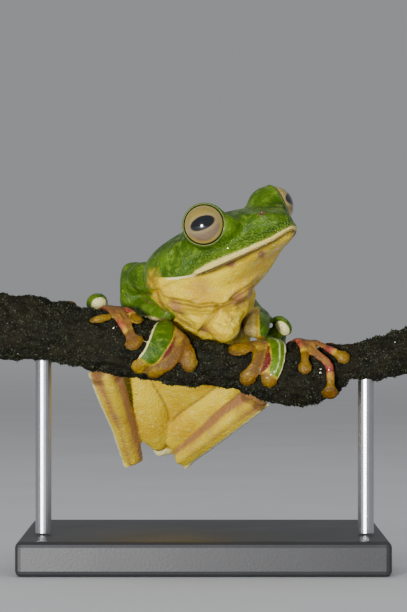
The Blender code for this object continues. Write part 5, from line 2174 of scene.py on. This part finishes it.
@dataclass
class Moss:
    """Short moss on the bark, set by Geometry Nodes."""

    name: str
    finish: MossFinish
    density: float
    height: float
    width: float
    seed: int
    leaf: bool = True

    def tree(self) -> bpy.types.NodeTree:
        """The node tree, with its sizes as named inputs.

        Returns:
            The node tree.
        """
        group = bpy.data.node_groups.new(self.name, "GeometryNodeTree")
        face = group.interface
        face.new_socket("Geometry", in_out="INPUT", socket_type="NodeSocketGeometry")
        for label in ("Density", "Height", "Width"):
            face.new_socket(label, in_out="INPUT", socket_type="NodeSocketFloat")
        face.new_socket("Seed", in_out="INPUT", socket_type="NodeSocketInt")
        face.new_socket("Geometry", in_out="OUTPUT", socket_type="NodeSocketGeometry")
        nodes, links = group.nodes, group.links
        source, sink = nodes.new("NodeGroupInput"), nodes.new("NodeGroupOutput")

        def node(kind: str, inputs: dict, **settings: str) -> bpy.types.Node:
            """A node with its settings and inputs.

            Args:
                kind: The node's type.
                inputs: Values or links of its sockets.
                settings: Its own settings.

            Returns:
                The node.
            """
            made = nodes.new(kind)
            for key, value in settings.items():
                setattr(made, key, value)
            for key, value in inputs.items():
                if isinstance(value, bpy.types.NodeSocket):
                    links.new(value, made.inputs[key])
                else:
                    made.inputs[key].default_value = value
            return made

        growth = node("GeometryNodeInputNamedAttribute", {"Name": "growth"}, data_type="FLOAT")
        density = node("ShaderNodeMath", {0: growth.outputs["Attribute"], 1: source.outputs["Density"]},
                       operation="MULTIPLY")
        spread = node("GeometryNodeDistributePointsOnFaces", {
            "Mesh": source.outputs["Geometry"], "Density": density.outputs["Value"],
            "Seed": source.outputs["Seed"],
        })
        if self.leaf:
            form = node("GeometryNodeMeshCone", {
                "Vertices": 4, "Radius Top": 0.0, "Radius Bottom": source.outputs["Width"],
                "Depth": source.outputs["Height"],
            })
        else:
            form = node("GeometryNodeMeshIcoSphere", {"Radius": source.outputs["Width"], "Subdivisions": 1})
        lean = node("FunctionNodeRandomValue", {0: (-0.9, -0.9, 0.0), 1: (0.9, 0.9, 6.28),
                                                "Seed": source.outputs["Seed"]}, data_type="FLOAT_VECTOR")
        turned = node("FunctionNodeRotateRotation", {
            "Rotation": spread.outputs["Rotation"], "Rotate By": lean.outputs[0]}, rotation_space="LOCAL")
        size = node("FunctionNodeRandomValue", {2: 0.5, 3: 1.3, "Seed": source.outputs["Seed"]},
                    data_type="FLOAT")
        placed = node("GeometryNodeInstanceOnPoints", {
            "Points": spread.outputs["Points"], "Instance": form.outputs["Mesh"],
            "Rotation": turned.outputs["Rotation"], "Scale": size.outputs[1],
        })
        real = node("GeometryNodeRealizeInstances", {"Geometry": placed.outputs["Instances"]})
        dressed = node("GeometryNodeSetMaterial", {"Geometry": real.outputs["Geometry"],
                                                   "Material": self.finish.material()})
        links.new(dressed.outputs["Geometry"], sink.inputs["Geometry"])
        return group

    def build(self, bark: bpy.types.Object) -> bpy.types.Object:
        """The moss as a plain mesh.

        Args:
            bark: The branch that it grows on.

        Returns:
            The moss.
        """
        carrier = new_object(self.name, bark.data.copy())
        step = carrier.modifiers.new("moss", "NODES")
        step.node_group = self.tree()
        values = {"Density": self.density / MM ** 2, "Height": self.height * MM, "Width": self.width * MM,
                  "Seed": self.seed}
        for item in step.node_group.interface.items_tree:
            if item.in_out == "INPUT" and item.name in values:
                step[item.identifier] = values[item.name]
        settle(carrier)
        return carrier


@dataclass
class Studio:
    """Pale floor, soft lights and the camera at the photograph's viewing angle."""

    camera_height: float = 46.0
    camera_distance: float = 600.0
    lens: float = 201.7
    floor_radius: float = 2.2
    sky: Colour = (0.80, 0.82, 0.85)
    sky_strength: float = 0.36

    def build(self) -> None:
        """Sets the stage."""
        self.floor()
        self.lights()
        self.camera()
        scene = bpy.context.scene
        pale = bpy.data.worlds.new("pale_studio")
        pale.use_nodes = True
        background = pale.node_tree.nodes["Background"]
        background.inputs["Color"].default_value = (*self.sky, 1.0)
        background.inputs["Strength"].default_value = self.sky_strength
        scene.world = pale

    def floor(self) -> None:
        """A round pale floor whose edge fades into the background."""
        mesh = bpy.data.meshes.new("floor")
        bm = bmesh.new()
        bmesh.ops.create_circle(bm, cap_ends=True, segments=96, radius=self.floor_radius)
        bm.to_mesh(mesh)
        bm.free()
        made = new_object("floor", mesh)
        s = Shader("pale_floor", Roughness=0.8)
        s.feed("Base Color", s.mix(s.noise(60.0).step(0.3, 0.7), (0.70, 0.71, 0.72), (0.74, 0.75, 0.76)))
        distance = s.add("ShaderNodeVectorMath", {"operation": "LENGTH"}, {0: s.place}, "Value")
        clear = s.add("ShaderNodeBsdfTransparent", {}, {})
        joined = s.add("ShaderNodeMixShader", {}, {0: distance.step(0.35, self.floor_radius * 0.95)})
        node = joined.socket.node
        s.tree.links.new(s.surface.outputs[0], node.inputs[1])
        s.tree.links.new(clear.socket, node.inputs[2])
        s.tree.links.new(node.outputs[0], s.tree.nodes["Material Output"].inputs["Surface"])
        mesh.materials.append(s.material)

    def lights(self) -> None:
        """A soft key light from the left front, a wide fill and a light from above."""
        focus = Vector(world(np.array((0.0, 0.0, 46.0))))
        for name, offset, size, power in (
            ("key", (-0.15, -0.52, -0.01), 0.07, 4.1),
            ("fill", (0.45, -0.5, 0.2), 0.5, 0.9),
            ("top", (-0.05, 0.12, 0.6), 0.5, 0.9),
        ):
            lamp = bpy.data.lights.new(name, "AREA")
            lamp.shape = "DISK"
            lamp.size = size
            lamp.energy = power
            made = new_object(name, lamp)
            made.location = focus + Vector(offset)
            made.rotation_euler = (focus - made.location).to_track_quat("-Z", "Y").to_euler()
            made.visible_glossy = name == "key"

    def camera(self) -> None:
        """The camera, level with the branch and in front of it."""
        data = bpy.data.cameras.new("camera")
        data.lens = self.lens
        data.sensor_width = 36.0
        data.clip_start = 0.01
        made = new_object("camera", data)
        made.location = world(np.array((0.0, -self.camera_distance, self.camera_height)))
        made.rotation_euler = (math.radians(90.0), 0.0, 0.0)
        bpy.context.scene.camera = made


def dress(made: bpy.types.Object, material: bpy.types.Material) -> None:
    """Gives an object one material."""
    made.data.materials.clear()
    made.data.materials.append(material)


def report(made: bpy.types.Object, nodes: Iterable[str] = ()) -> None:
    """Fastens a piece to the part's one body, hides the solids that it replaces and logs it.

    Args:
        made: The piece.
        nodes: The solids that it replaces.
    """
    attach(made, "root")
    if nodes:
        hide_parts(*nodes)
    LOG.info("%s: %d points, %d faces", made.name, len(made.data.vertices), len(made.data.polygons))


def main() -> None:
    """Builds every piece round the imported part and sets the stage."""
    logging.basicConfig(level=logging.INFO, format="%(name)s: %(message)s")
    for made in list(bpy.data.objects):
        bpy.data.objects.remove(made)
    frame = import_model()
    Studio().build()

    skin = Skin()
    frog = skin.build()
    dress(frog, SkinFinish().material())
    report(frog, skin.nodes)

    wet = EyeFinish().material()
    for eye in EYES:
        ball = Eyeball(eye, gaze=0.0 if eye.side is Side.RIGHT else 22.0).build()
        dress(ball, wet)
        report(ball, ("eye_" + eye.side.word,))

    bark = Branch().build()
    leaves = Moss("perch_moss", MossFinish("moss_leaf", (0.005, 0.006, 0.002), (0.03, 0.036, 0.012), 0.5),
                  5.0, 0.36, 0.13, 11)
    grains = Moss("perch_grains", MossFinish("wet_grain", (0.01, 0.01, 0.006), (0.08, 0.085, 0.055), 0.3),
                  2.4, 0.0, 0.12, 23, leaf=False)
    for moss in (leaves, grains):
        report(moss.build(bark))
    dress(bark, BarkFinish().material())
    report(bark, ("perch",))

    paint, steel = StandFinish().material(), SteelFinish().material()
    for name, material in (("stand_base", paint), ("stand_rod_right", steel), ("stand_rod_left", steel)):
        dress(frame["nodes"][name], material)
        LOG.info("%s: packed solid, finished in %s", name, material.name)


if __name__ == "__main__":
    main()
